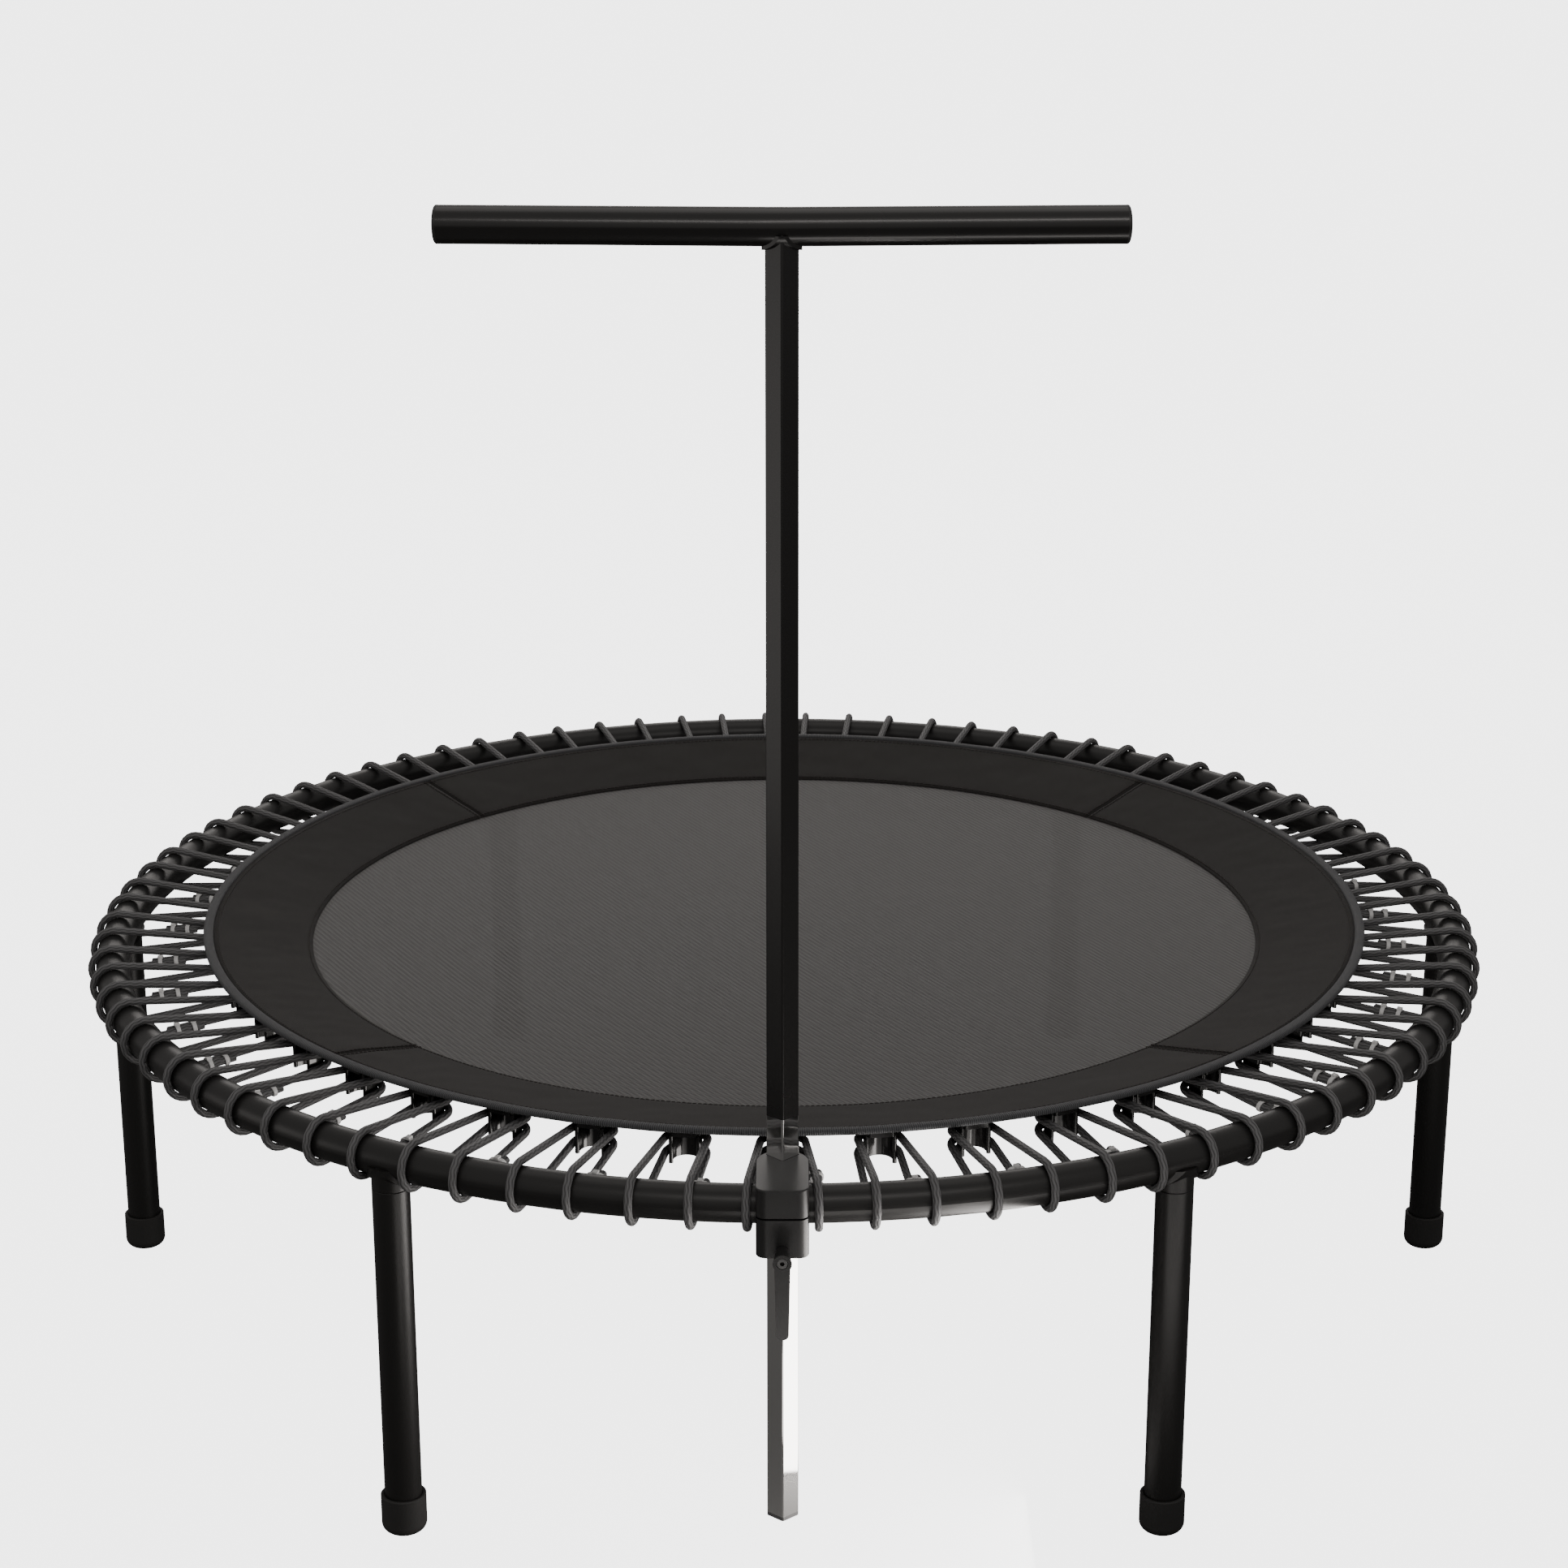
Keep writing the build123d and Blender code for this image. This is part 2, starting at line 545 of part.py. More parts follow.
with BuildPart() as clamp_lower:
    add(clamp_block.part)
    split(bisect_by=Plane.XY.offset(TUBE_Z - CLAMP_SLIT / 2), keep=Keep.BOTTOM)
    with BuildSketch(Plane.XY.offset(clamp_bottom)):
        with Locations(screw_spots):
            Circle(SCREW_R + RUNNING)
    extrude(amount=TUBE_Z - clamp_bottom, mode=Mode.SUBTRACT)
    with BuildSketch(Plane.XY.offset(clamp_bottom)):
        with Locations(screw_spots):
            Circle(SCREW_HEAD_R + RUNNING)
    extrude(amount=SCREW_HEAD + CLAMP_EDGE, mode=Mode.SUBTRACT)
    with BuildSketch(Plane(origin=(0, clamp_front_y, lever_z), x_dir=(1, 0, 0), z_dir=(0, 1, 0))):
        Circle(LEVER_SCREW_R + RUNNING)
    extrude(amount=-RING_R - clamp_front_y + TUBE_R, mode=Mode.SUBTRACT)
    with BuildSketch(Plane(origin=(0, post_front_y - PAD_LENGTH, lever_z), x_dir=(1, 0, 0), z_dir=(0, 1, 0))):
        Circle(PAD_R + RUNNING)
    extrude(amount=PAD_LENGTH + POST_REACH, mode=Mode.SUBTRACT)
clamp_lower.part.label = "clamp_lower"
export_step(clamp_lower.part, "parts/clamp_lower.step")

with BuildPart() as clamp_screws:
    with BuildSketch(Plane.XY.offset(clamp_bottom + CLAMP_EDGE)):
        with Locations(screw_spots):
            Circle(SCREW_HEAD_R)
    extrude(amount=SCREW_HEAD)
    with BuildSketch(Plane.XY.offset(clamp_bottom + CLAMP_EDGE)):
        with Locations(screw_spots):
            RegularPolygon(SCREW_HEX / 2, 6, major_radius=False)
    extrude(amount=SCREW_HEAD / 2, mode=Mode.SUBTRACT)
    with BuildSketch(Plane.XY.offset(clamp_bottom + CLAMP_EDGE + SCREW_HEAD)):
        with Locations(screw_spots):
            Circle(SCREW_R)
    extrude(amount=TUBE_Z + SCREW_TIP - clamp_bottom - CLAMP_EDGE - SCREW_HEAD)
clamp_screws.part.label = "clamp_screws"
export_step(clamp_screws.part, "parts/clamp_screws.step")

# ---- Clamping lever: its stud presses a notched pad on the post's front corner ----
lever_out = Plane(origin=(0, clamp_front_y - HUB_GAP, lever_z), x_dir=(1, 0, 0), z_dir=(0, -1, 0))
pad_back_y = post_front_y - PAD_LENGTH

with BuildPart() as press_pad:
    with BuildSketch(Plane(origin=(0, pad_back_y, lever_z), x_dir=(1, 0, 0), z_dir=(0, 1, 0))):
        Circle(PAD_R)
    extrude(amount=PAD_LENGTH + POST_REACH / 3)
    with BuildSketch(MAST.offset(-2 * CLAMP_UNDER - TUBE_R)):
        RectangleRounded(POST_SIDE + 2 * PAD_GAP, POST_SIDE + 2 * PAD_GAP, POST_CORNER, rotation=45)
    extrude(amount=4 * CLAMP_UNDER, mode=Mode.SUBTRACT)
press_pad.part.label = "press_pad"
export_step(press_pad.part, "parts/press_pad.step")

with BuildPart() as lever_stud:
    with BuildSketch(lever_out):
        Circle(LEVER_SCREW_R)
    extrude(amount=-(pad_back_y - PAD_GAP - clamp_front_y + HUB_GAP))
    with BuildSketch(lever_out):
        Circle(LEVER_SCREW_R)
    extrude(amount=HUB_LENGTH / 2)
lever_stud.part.label = "lever_stud"
export_step(lever_stud.part, "parts/lever_stud.step")

with BuildPart() as lever_handle:
    with BuildSketch(lever_out):
        Circle(HUB_ROOT_R)
    with BuildSketch(lever_out.offset(HUB_LENGTH)):
        Circle(HUB_FACE_R)
    loft()
    with BuildSketch(lever_out.offset(HUB_LENGTH - HANDLE_THICK)):
        with BuildLine():
            Polyline(
                (-HANDLE_TOP_W / 2, 0), (HANDLE_TOP_W / 2, 0),
                (HANDLE_TIP_W / 2, -HANDLE_LENGTH), (-HANDLE_TIP_W / 2, -HANDLE_LENGTH),
                close=True,
            )
        make_face()
        fillet(vertices().group_by(Axis.Z)[0], HANDLE_ROUND)
    extrude(amount=HANDLE_THICK - HANDLE_STEP)
    with BuildSketch(lever_out.offset(HUB_LENGTH)):
        Circle(HUB_RECESS_R)
    extrude(amount=-HUB_RECESS, mode=Mode.SUBTRACT)
    with BuildSketch(lever_out):
        Circle(LEVER_SCREW_R)
    extrude(amount=HUB_LENGTH, mode=Mode.SUBTRACT)
lever_handle.part.label = "lever_handle"
export_step(lever_handle.part, "parts/lever_handle.step")

with BuildPart() as lever_screw:
    with BuildSketch(lever_out.offset(HUB_LENGTH - HUB_RECESS)):
        Circle(CAP_SCREW_R)
    extrude(amount=HUB_RECESS - CAP_SCREW_STEP)
    with BuildSketch(lever_out.offset(HUB_LENGTH - HUB_RECESS)):
        Circle(LEVER_SCREW_R)
    extrude(amount=-(HUB_LENGTH / 2 - HUB_RECESS))
    with BuildSketch(lever_out.offset(HUB_LENGTH)):
        RegularPolygon(CAP_SCREW_HEX / 2, 6, major_radius=False)
    extrude(amount=-CAP_SCREW_HEX_DEPTH, mode=Mode.SUBTRACT)
lever_screw.part.label = "lever_screw"
export_step(lever_screw.part, "parts/lever_screw.step")

# ---- Mast: bright lower post, black upper post, bar ----
post_bore = POST_SIDE - 2 * POST_WALL

with BuildPart() as lower_post:
    with BuildSketch(MAST.offset(POST_BOTTOM + PLUG_FLANGE)):
        RectangleRounded(POST_SIDE, POST_SIDE, POST_CORNER, rotation=45)
        RectangleRounded(post_bore, post_bore, BORE_CORNER, rotation=45, mode=Mode.SUBTRACT)
    extrude(amount=POST_SEAM - POST_BOTTOM - PLUG_FLANGE)
lower_post.part.label = "lower_post"
export_step(lower_post.part, "parts/lower_post.step")

with BuildPart() as post_end_plug:
    with BuildSketch(MAST.offset(POST_BOTTOM)):
        RectangleRounded(POST_SIDE, POST_SIDE, POST_CORNER, rotation=45)
    extrude(amount=PLUG_FLANGE)
    with BuildSketch(MAST.offset(POST_BOTTOM + PLUG_FLANGE)):
        RectangleRounded(post_bore, post_bore, BORE_CORNER, rotation=45)
    extrude(amount=PLUG_DEPTH)
post_end_plug.part.label = "post_end_plug"
export_step(post_end_plug.part, "parts/post_end_plug.step")

with BuildPart() as spigot:
    with BuildSketch(MAST.offset(POST_SEAM - SPIGOT_DEPTH)):
        spigot_side = post_bore - 2 * SPIGOT_GAP
        RectangleRounded(spigot_side, spigot_side, BORE_CORNER + SPIGOT_GAP, rotation=45)
    extrude(amount=2 * SPIGOT_DEPTH)
spigot.part.label = "spigot"
export_step(spigot.part, "parts/spigot.step")

bar_middle = MAST.offset(BAR_RUN)
sweep_back = BAR_HALF * tan(radians(BAR_SWEEP))
with BuildLine(bar_middle) as bar_line:
    FilletPolyline((-BAR_HALF, sweep_back), (0, 0), (BAR_HALF, sweep_back), radius=BAR_BEND_R)
bar_path = bar_line.wires()[0]
bar_start = Plane(origin=bar_path @ 0, z_dir=bar_path % 0)
bar_finish = Plane(origin=bar_path @ 1, z_dir=-(bar_path % 1))

with BuildPart(mode=Mode.PRIVATE) as bar_solid:
    with BuildSketch(bar_start):
        Circle(BAR_R)
    sweep(path=bar_path)

with BuildPart(mode=Mode.PRIVATE) as bar_envelope:
    with BuildSketch(bar_start):
        Circle(BAR_R + BAR_WELD)
    sweep(path=bar_path)

with BuildPart() as upper_post:
    with BuildSketch(MAST.offset(POST_SEAM)):
        RectangleRounded(POST_SIDE, POST_SIDE, POST_CORNER, rotation=45)
        RectangleRounded(post_bore, post_bore, BORE_CORNER, rotation=45, mode=Mode.SUBTRACT)
    extrude(amount=BAR_RUN - POST_SEAM - BAR_R / 4)
    add(bar_solid.part, mode=Mode.SUBTRACT)
upper_post.part.label = "upper_post"
export_step(upper_post.part, "parts/upper_post.step")

with BuildPart() as bar_weld:
    weld_side = POST_SIDE + 2 * BAR_WELD
    with BuildSketch(MAST.offset(BAR_RUN - BAR_R - BAR_WELD)):
        RectangleRounded(weld_side, weld_side, POST_CORNER + BAR_WELD, rotation=45)
        RectangleRounded(POST_SIDE, POST_SIDE, POST_CORNER, rotation=45, mode=Mode.SUBTRACT)
    extrude(amount=BAR_R * 3 / 4)
    add(bar_envelope.part, mode=Mode.INTERSECT)
    add(bar_solid.part, mode=Mode.SUBTRACT)
bar_weld.part.label = "bar_weld"
export_step(bar_weld.part, "parts/bar_weld.step")

with BuildPart() as handlebar:
    with BuildSketch(bar_start):
        Circle(BAR_R)
        Circle(BAR_R - BAR_WALL, mode=Mode.SUBTRACT)
    sweep(path=bar_path)
handlebar.part.label = "handlebar"
export_step(handlebar.part, "parts/handlebar.step")

for side, inward in (("left", bar_start), ("right", bar_finish)):
    with BuildPart() as bar_cap:
        with BuildSketch(inward):
            Circle(BAR_R)
        extrude(amount=-BAR_CAP)
        fillet(bar_cap.faces().filter_by(GeomType.PLANE).sort_by(Axis.X)[0 if side == "left" else -1].edges(),
               BAR_CAP / 2)
        with BuildSketch(inward):
            Circle(BAR_R - BAR_WALL)
        extrude(amount=BAR_CAP_DEPTH)
    bar_cap.part.label = f"bar_cap_{side}"
    export_step(bar_cap.part, f"parts/bar_cap_{side}.step")
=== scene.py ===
"""The looks of a mini trampoline: its mat, bungee rings, finishes and stage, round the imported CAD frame."""

import math

import bpy
from bpy.props import FloatProperty, FloatVectorProperty, IntProperty, PointerProperty
from mathutils import Matrix, Vector, noise


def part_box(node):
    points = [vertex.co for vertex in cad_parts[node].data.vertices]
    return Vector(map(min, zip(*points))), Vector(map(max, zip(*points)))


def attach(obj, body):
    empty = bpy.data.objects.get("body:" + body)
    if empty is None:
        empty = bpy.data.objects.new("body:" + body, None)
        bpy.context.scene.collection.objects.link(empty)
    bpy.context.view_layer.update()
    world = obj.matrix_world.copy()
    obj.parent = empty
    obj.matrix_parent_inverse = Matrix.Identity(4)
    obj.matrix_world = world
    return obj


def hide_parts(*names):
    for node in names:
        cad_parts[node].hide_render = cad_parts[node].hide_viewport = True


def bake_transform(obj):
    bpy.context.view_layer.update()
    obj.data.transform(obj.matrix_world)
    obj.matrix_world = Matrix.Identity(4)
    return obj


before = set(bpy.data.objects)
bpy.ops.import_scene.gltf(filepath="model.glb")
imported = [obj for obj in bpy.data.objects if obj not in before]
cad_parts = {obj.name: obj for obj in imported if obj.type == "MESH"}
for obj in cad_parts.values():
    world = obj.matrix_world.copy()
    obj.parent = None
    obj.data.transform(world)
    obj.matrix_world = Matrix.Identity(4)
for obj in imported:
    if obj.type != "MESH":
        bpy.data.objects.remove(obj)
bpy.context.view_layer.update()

bl_info = {
    "name": "Mini trampoline looks",
    "version": (1, 0, 0),
    "blender": (4, 5, 0),
    "location": "View3D > Sidebar > Trampoline",
    "description": "Builds the mat, bungee rings, finishes and stage of a mini trampoline",
    "category": "Object",
}

MM = 0.001

# Places read from the frame
tube_low, tube_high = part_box("ring_tube")
TUBE_R = (tube_high.z - tube_low.z) / 2
TUBE_Z = (tube_high.z + tube_low.z) / 2
RING_R = tube_high.x - TUBE_R
MESH_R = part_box("jump_mesh")[1].x
PANEL_R = max(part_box(f"border_panel_{n}")[1].x for n in range(1, 5))
binding_low, binding_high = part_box("edge_binding")
MAT_R = binding_high.x
mat_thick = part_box("jump_mesh")[1].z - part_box("jump_mesh")[0].z
FLOOR_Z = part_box("foot_cap_1")[0].z
clamp_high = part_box("clamp_upper")[1]
TAU = 2 * math.pi
MAST_ANGLE = -math.pi / 2

# Sizes that the panel does not offer, in metres
MESH_SINK = 0.3 * MM          # mesh under the border's edge
CLOTH_THICK = 1.2 * MM
EDGE_ROLL = 0.55 * MM         # border's inner edge, rolled down
SEAM_TUCK = (0.8 * MM, 0.1 * MM)
SEAM_HALF = 0.0006            # half the seam between two panels, in radians
SEAM_ROW = 3.0 * MM           # stitch row beside a seam
HEM_FLAT = 3.0 * MM           # flat part of the webbing, inside the mesh's edge
HEM_THICK = 1.5 * MM
TIE_INNER, TIE_OUTER = 0.2 * MM, 1.3 * MM
TIE_HALF_WIDTH = 1.8 * MM
TIE_EDGE = 0.3 * MM
TIE_FROM_MIDDLE = 7 * MM
HEAD_HALF = (2.3 * MM, 2.2 * MM)
HEAD_BELOW, HEAD_ABOVE = 0.4 * MM, 1.9 * MM
SPLICE_FROM, SPLICE_TO = 0.063, 0.033     # ends of the splice, inward from the ring
MAST_SPLICE_GAP, MAST_SPLICE_LENGTH = 1.3 * MM, 0.027
MAST_CORD_GAP = 4.2 * MM      # from the clamp's side to the cord beside it
ARC_STEPS = 12                # points round each half of a tie
LIGHT_COLOUR = (1.0, 0.955, 0.92)
FLOOR_GLOW = 4.0


class TrampolineSizes(bpy.types.PropertyGroup):
    """Sizes of what the CAD leaves plain."""

    ring_count: IntProperty(
        name="Bungee rings", description="Number of bungee rings round the mat", default=42)
    cord_radius: FloatProperty(
        name="Cord radius", description="Radius of a bungee cord", default=3.25 * MM, unit="LENGTH")
    cord_gap: FloatProperty(
        name="Cord gap", description="Gap between a cord and what it lies round", default=0.25 * MM,
        unit="LENGTH")
    anchor_circle: FloatProperty(
        name="Anchor circle", description="Radius of the circle of anchors", default=0.508, unit="LENGTH")
    anchor_radius: FloatProperty(
        name="Anchor radius", description="Outside radius of an anchor's half-pipe", default=12.8 * MM,
        unit="LENGTH")
    cord_upper: FloatProperty(
        name="Upper cord level", description="Height of the cord round the anchor, upper level",
        default=1.0 * MM, unit="LENGTH")
    cord_pitch: FloatProperty(
        name="Cord level pitch", description="Distance down to the lower level", default=9.5 * MM,
        unit="LENGTH")
    splice_pitch: FloatProperty(
        name="Splice pitch", description="Distance between the two cord ends that lie side by side",
        default=7.2 * MM, unit="LENGTH")
    dish: FloatProperty(
        name="Dish", description="How far the middle of the mesh hangs below its edge", default=1.2 * MM,
        unit="LENGTH")
    ripple: FloatProperty(
        name="Border ripple", description="Height of the soft ripples in the border", default=0.7 * MM,
        unit="LENGTH")
    stitch_length: FloatProperty(
        name="Stitch length", description="Length of one stitch", default=3.2 * MM, unit="LENGTH")
    mesh_pitch: FloatProperty(
        name="Mesh pitch", description="Distance between the ribs of the mesh weave", default=4.6 * MM,
        unit="LENGTH")


class TrampolineColours(bpy.types.PropertyGroup):
    """Colours of the finishes."""

    frame_paint: FloatVectorProperty(
        name="Frame paint", description="Powder coat of the frame", default=(0.0115, 0.0110, 0.0105), size=3,
        subtype="COLOR", min=0, max=1)
    mesh_thread: FloatVectorProperty(
        name="Mesh thread", description="Thread of the jump mesh", default=(0.0066, 0.0055, 0.0047), size=3,
        subtype="COLOR", min=0, max=1)
    border_cloth: FloatVectorProperty(
        name="Border cloth", description="Cloth of the border", default=(0.0066, 0.0050, 0.0040), size=3,
        subtype="COLOR", min=0, max=1)
    binding_tape: FloatVectorProperty(
        name="Binding tape", description="Tape round the mat's edge", default=(0.056, 0.058, 0.062), size=3,
        subtype="COLOR", min=0, max=1)
    cord_sheath: FloatVectorProperty(
        name="Cord sheath", description="Braided sheath of the bungee cord", default=(0.085, 0.085, 0.087),
        size=3, subtype="COLOR", min=0, max=1)
    tie_plastic: FloatVectorProperty(
        name="Tie plastic", description="Ties that hold the cord ends", default=(0.88, 0.88, 0.87), size=3,
        subtype="COLOR", min=0, max=1)
    foot_rubber: FloatVectorProperty(
        name="Foot rubber", description="Rubber of the foot caps", default=(0.022, 0.0215, 0.021), size=3,
        subtype="COLOR", min=0, max=1)
    floor_paint: FloatVectorProperty(
        name="Floor", description="Stage floor", default=(0.16, 0.16, 0.16), size=3, subtype="COLOR",
        min=0, max=1)


# ---- Shader node groups ----
def new_group(name, inputs, outputs):
    """An empty shader group with named float, colour or vector sockets, and its two end nodes."""
    tree = bpy.data.node_groups.new(name, "ShaderNodeTree")
    for label, kind, value in inputs:
        socket = tree.interface.new_socket(name=label, in_out="INPUT", socket_type=kind)
        socket.default_value = value
    for label, kind in outputs:
        tree.interface.new_socket(name=label, in_out="OUTPUT", socket_type=kind)
    return tree, tree.nodes.new("NodeGroupInput"), tree.nodes.new("NodeGroupOutput")


def math_node(tree, operation, *values, clamp=False):
    """A maths node whose inputs are sockets or numbers."""
    node = tree.nodes.new("ShaderNodeMath")
    node.operation = operation
    node.use_clamp = clamp
    for socket, value in zip(node.inputs, values):
        if hasattr(value, "links"):
            tree.links.new(value, socket)
        else:
            socket.default_value = value
    return node.outputs[0]


def noise_node(tree, vector, scale, detail=2.0):
    """A noise texture's value over a place."""
    node = tree.nodes.new("ShaderNodeTexNoise")
    node.inputs["Detail"].default_value = detail
    for label, value in (("Vector", vector), ("Scale", scale)):
        if hasattr(value, "links"):
            tree.links.new(value, node.inputs[label])
        else:
            node.inputs[label].default_value = value
    return node.outputs["Fac"]


def make_grain_group():
    """Fine grain of a coating, and slow patches that vary its roughness."""
    tree, given, result = new_group(
        "fine_grain",
        [("Grain Scale", "NodeSocketFloat", 900.0), ("Patch Scale", "NodeSocketFloat", 9.0),
         ("Roughness", "NodeSocketFloat", 0.4), ("Patch Amount", "NodeSocketFloat", 0.08)],
        [("Height", "NodeSocketFloat"), ("Roughness", "NodeSocketFloat")])
    place = tree.nodes.new("ShaderNodeTexCoord").outputs["Object"]
    grain = noise_node(tree, place, given.outputs["Grain Scale"], 3.0)
    patch = noise_node(tree, place, given.outputs["Patch Scale"], 4.0)
    shift = math_node(tree, "MULTIPLY", math_node(tree, "SUBTRACT", patch, 0.5),
                      given.outputs["Patch Amount"])
    tree.links.new(grain, result.inputs["Height"])
    tree.links.new(math_node(tree, "ADD", given.outputs["Roughness"], shift), result.inputs["Roughness"])
    return tree


def make_weave_group():
    """Two families of threads that cross; Height is their relief and Hole is 1 in the gaps."""
    tree, given, result = new_group(
        "thread_weave",
        [("Pitch", "NodeSocketFloat", 0.0046), ("Turn A", "NodeSocketFloat", -1.05),
         ("Turn B", "NodeSocketFloat", 0.52), ("Pitch Ratio", "NodeSocketFloat", 0.5)],
        [("Height", "NodeSocketFloat"), ("Rib", "NodeSocketFloat"), ("Hole", "NodeSocketFloat")])
    place = tree.nodes.new("ShaderNodeTexCoord").outputs["Object"]
    split = tree.nodes.new("ShaderNodeSeparateXYZ")
    tree.links.new(place, split.inputs[0])

    def family(turn, pitch):
        across = math_node(
            tree, "SUBTRACT",
            math_node(tree, "MULTIPLY", split.outputs["X"], math_node(tree, "SINE", turn)),
            math_node(tree, "MULTIPLY", split.outputs["Y"], math_node(tree, "COSINE", turn)))
        phase = math_node(tree, "MULTIPLY", math_node(tree, "DIVIDE", across, pitch), TAU)
        wave = math_node(tree, "SINE", phase)
        return math_node(tree, "MULTIPLY_ADD", wave, 0.5, 0.5)

    rib = family(given.outputs["Turn A"], given.outputs["Pitch"])
    cross = family(given.outputs["Turn B"],
                   math_node(tree, "MULTIPLY", given.outputs["Pitch"], given.outputs["Pitch Ratio"]))
    relief = math_node(tree, "MAXIMUM", rib, cross)
    tree.links.new(relief, result.inputs["Height"])
    tree.links.new(rib, result.inputs["Rib"])
    tree.links.new(math_node(tree, "SUBTRACT", 1.0, math_node(tree, "MULTIPLY", relief, 2.2), clamp=True),
                   result.inputs["Hole"])
    return tree


def make_braid_group():
    """Strands of a braided sheath: lines along the cord that weave over and under each other."""
    tree, given, result = new_group(
        "braid",
        [("Strands", "NodeSocketFloat", 7.0), ("Lay", "NodeSocketFloat", 110.0)],
        [("Height", "NodeSocketFloat")])
    place = tree.nodes.new("ShaderNodeTexCoord").outputs["UV"]
    split = tree.nodes.new("ShaderNodeSeparateXYZ")
    tree.links.new(place, split.inputs[0])
    along = math_node(tree, "MULTIPLY", split.outputs["X"], given.outputs["Lay"])
    round_cord = math_node(tree, "MULTIPLY", split.outputs["Y"], given.outputs["Strands"])
    swing = math_node(tree, "SINE", math_node(tree, "MULTIPLY", along, TAU))
    weave = math_node(tree, "MULTIPLY", swing, 0.13)
    line = math_node(tree, "ABSOLUTE", math_node(
        tree, "SINE", math_node(tree, "MULTIPLY", math_node(tree, "ADD", round_cord, weave), math.pi)))
    cross = math_node(tree, "ABSOLUTE", math_node(
        tree, "SINE", math_node(tree, "MULTIPLY", math_node(tree, "ADD", along, round_cord), math.pi)))
    height = math_node(tree, "ADD", math_node(tree, "MULTIPLY", line, 0.75),
                       math_node(tree, "MULTIPLY", cross, 0.25))
    tree.links.new(height, result.inputs["Height"])
    return tree


def make_ribs_group():
    """Ribs of a tape that runs round the mat, by angle about the mat's middle."""
    tree, given, result = new_group(
        "round_ribs", [("Ribs", "NodeSocketFloat", 1900.0)],
        [("Height", "NodeSocketFloat")])
    place = tree.nodes.new("ShaderNodeTexCoord").outputs["Object"]
    split = tree.nodes.new("ShaderNodeSeparateXYZ")
    tree.links.new(place, split.inputs[0])
    angle = math_node(tree, "ARCTAN2", split.outputs["Y"], split.outputs["X"])
    wave = math_node(tree, "SINE", math_node(tree, "MULTIPLY", angle, given.outputs["Ribs"]))
    tree.links.new(math_node(tree, "MULTIPLY_ADD", wave, 0.5, 0.5), result.inputs["Height"])
    return tree


GROUP_MAKERS = {"fine_grain": make_grain_group, "thread_weave": make_weave_group, "braid": make_braid_group,
                "round_ribs": make_ribs_group}


# ---- Materials ----
def place_group(tree, name, **values):
    """Puts a shared group in a material, with its own values."""
    node = tree.nodes.new("ShaderNodeGroup")
    node.node_tree = bpy.data.node_groups.get(name) or GROUP_MAKERS[name]()
    for label, value in values.items():
        node.inputs[label.replace("_", " ").title()].default_value = value
    return node


def new_material(name, colour, roughness, metallic=0.0, **sockets):
    """A material with a Principled shader and plain values on its sockets."""
    material = bpy.data.materials.new(name)
    material.use_nodes = True
    shader = material.node_tree.nodes["Principled BSDF"]
    shader.inputs["Base Color"].default_value = (*colour, 1)
    shader.inputs["Roughness"].default_value = roughness
    shader.inputs["Metallic"].default_value = metallic
    for label, value in sockets.items():
        shader.inputs[label.replace("_", " ").title().replace("Ior", "IOR")].default_value = value
    return material, material.node_tree, shader


def add_bump(tree, shader, height, strength, distance):
    """Relief from a height that changes over the surface."""
    bump = tree.nodes.new("ShaderNodeBump")
    bump.inputs["Strength"].default_value = strength
    bump.inputs["Distance"].default_value = distance
    tree.links.new(height, bump.inputs["Height"])
    tree.links.new(bump.outputs["Normal"], shader.inputs["Normal"])


def mix_colours(tree, factor, dark, light):
    """A colour between two, by a mask."""
    node = tree.nodes.new("ShaderNodeMix")
    node.data_type = "RGBA"
    node.inputs[6].default_value = (*dark, 1)
    node.inputs[7].default_value = (*light, 1)
    tree.links.new(factor, node.inputs[0])
    return node.outputs[2]


def coated(name, colour, roughness, grain=900.0, relief=0.05, patch=0.08, metallic=0.0, **sockets):
    """Painted, moulded or plated surface with a fine grain and uneven gloss."""
    material, tree, shader = new_material(name, colour, roughness, metallic, **sockets)
    group = place_group(tree, "fine_grain", grain_scale=grain, roughness=roughness, patch_amount=patch)
    add_bump(tree, shader, group.outputs["Height"], relief, 0.0004)
    tree.links.new(group.outputs["Roughness"], shader.inputs["Roughness"])
    tone = noise_node(tree, tree.nodes.new("ShaderNodeTexCoord").outputs["Object"], 14.0, 5.0)
    tree.links.new(mix_colours(tree, tone, scaled(colour, 0.86), scaled(colour, 1.18)),
                   shader.inputs["Base Color"])
    return material


def scaled(colour, factor):
    """A lighter or darker tone of a colour."""
    return tuple(min(1.0, c * factor) for c in colour)


def jump_mesh_material(sizes, colours):
    """Fine woven mesh, partly seen through."""
    material, tree, shader = new_material("jump_mesh_weave", colours.mesh_thread, 0.46)
    shader.inputs["Specular IOR Level"].default_value = 0.40
    weave = place_group(tree, "thread_weave", pitch=sizes.mesh_pitch)
    tree.links.new(mix_colours(tree, weave.outputs["Rib"], scaled(colours.mesh_thread, 0.6),
                               scaled(colours.mesh_thread, 2.4)), shader.inputs["Base Color"])
    add_bump(tree, shader, weave.outputs["Height"], 0.5, 0.0006)
    opening = math_node(tree, "MULTIPLY_ADD", weave.outputs["Hole"], -0.009, 0.9995, clamp=True)
    tree.links.new(opening, shader.inputs["Alpha"])
    shader.inputs["Sheen Weight"].default_value = 0.06
    shader.inputs["Sheen Roughness"].default_value = 0.4
    return material


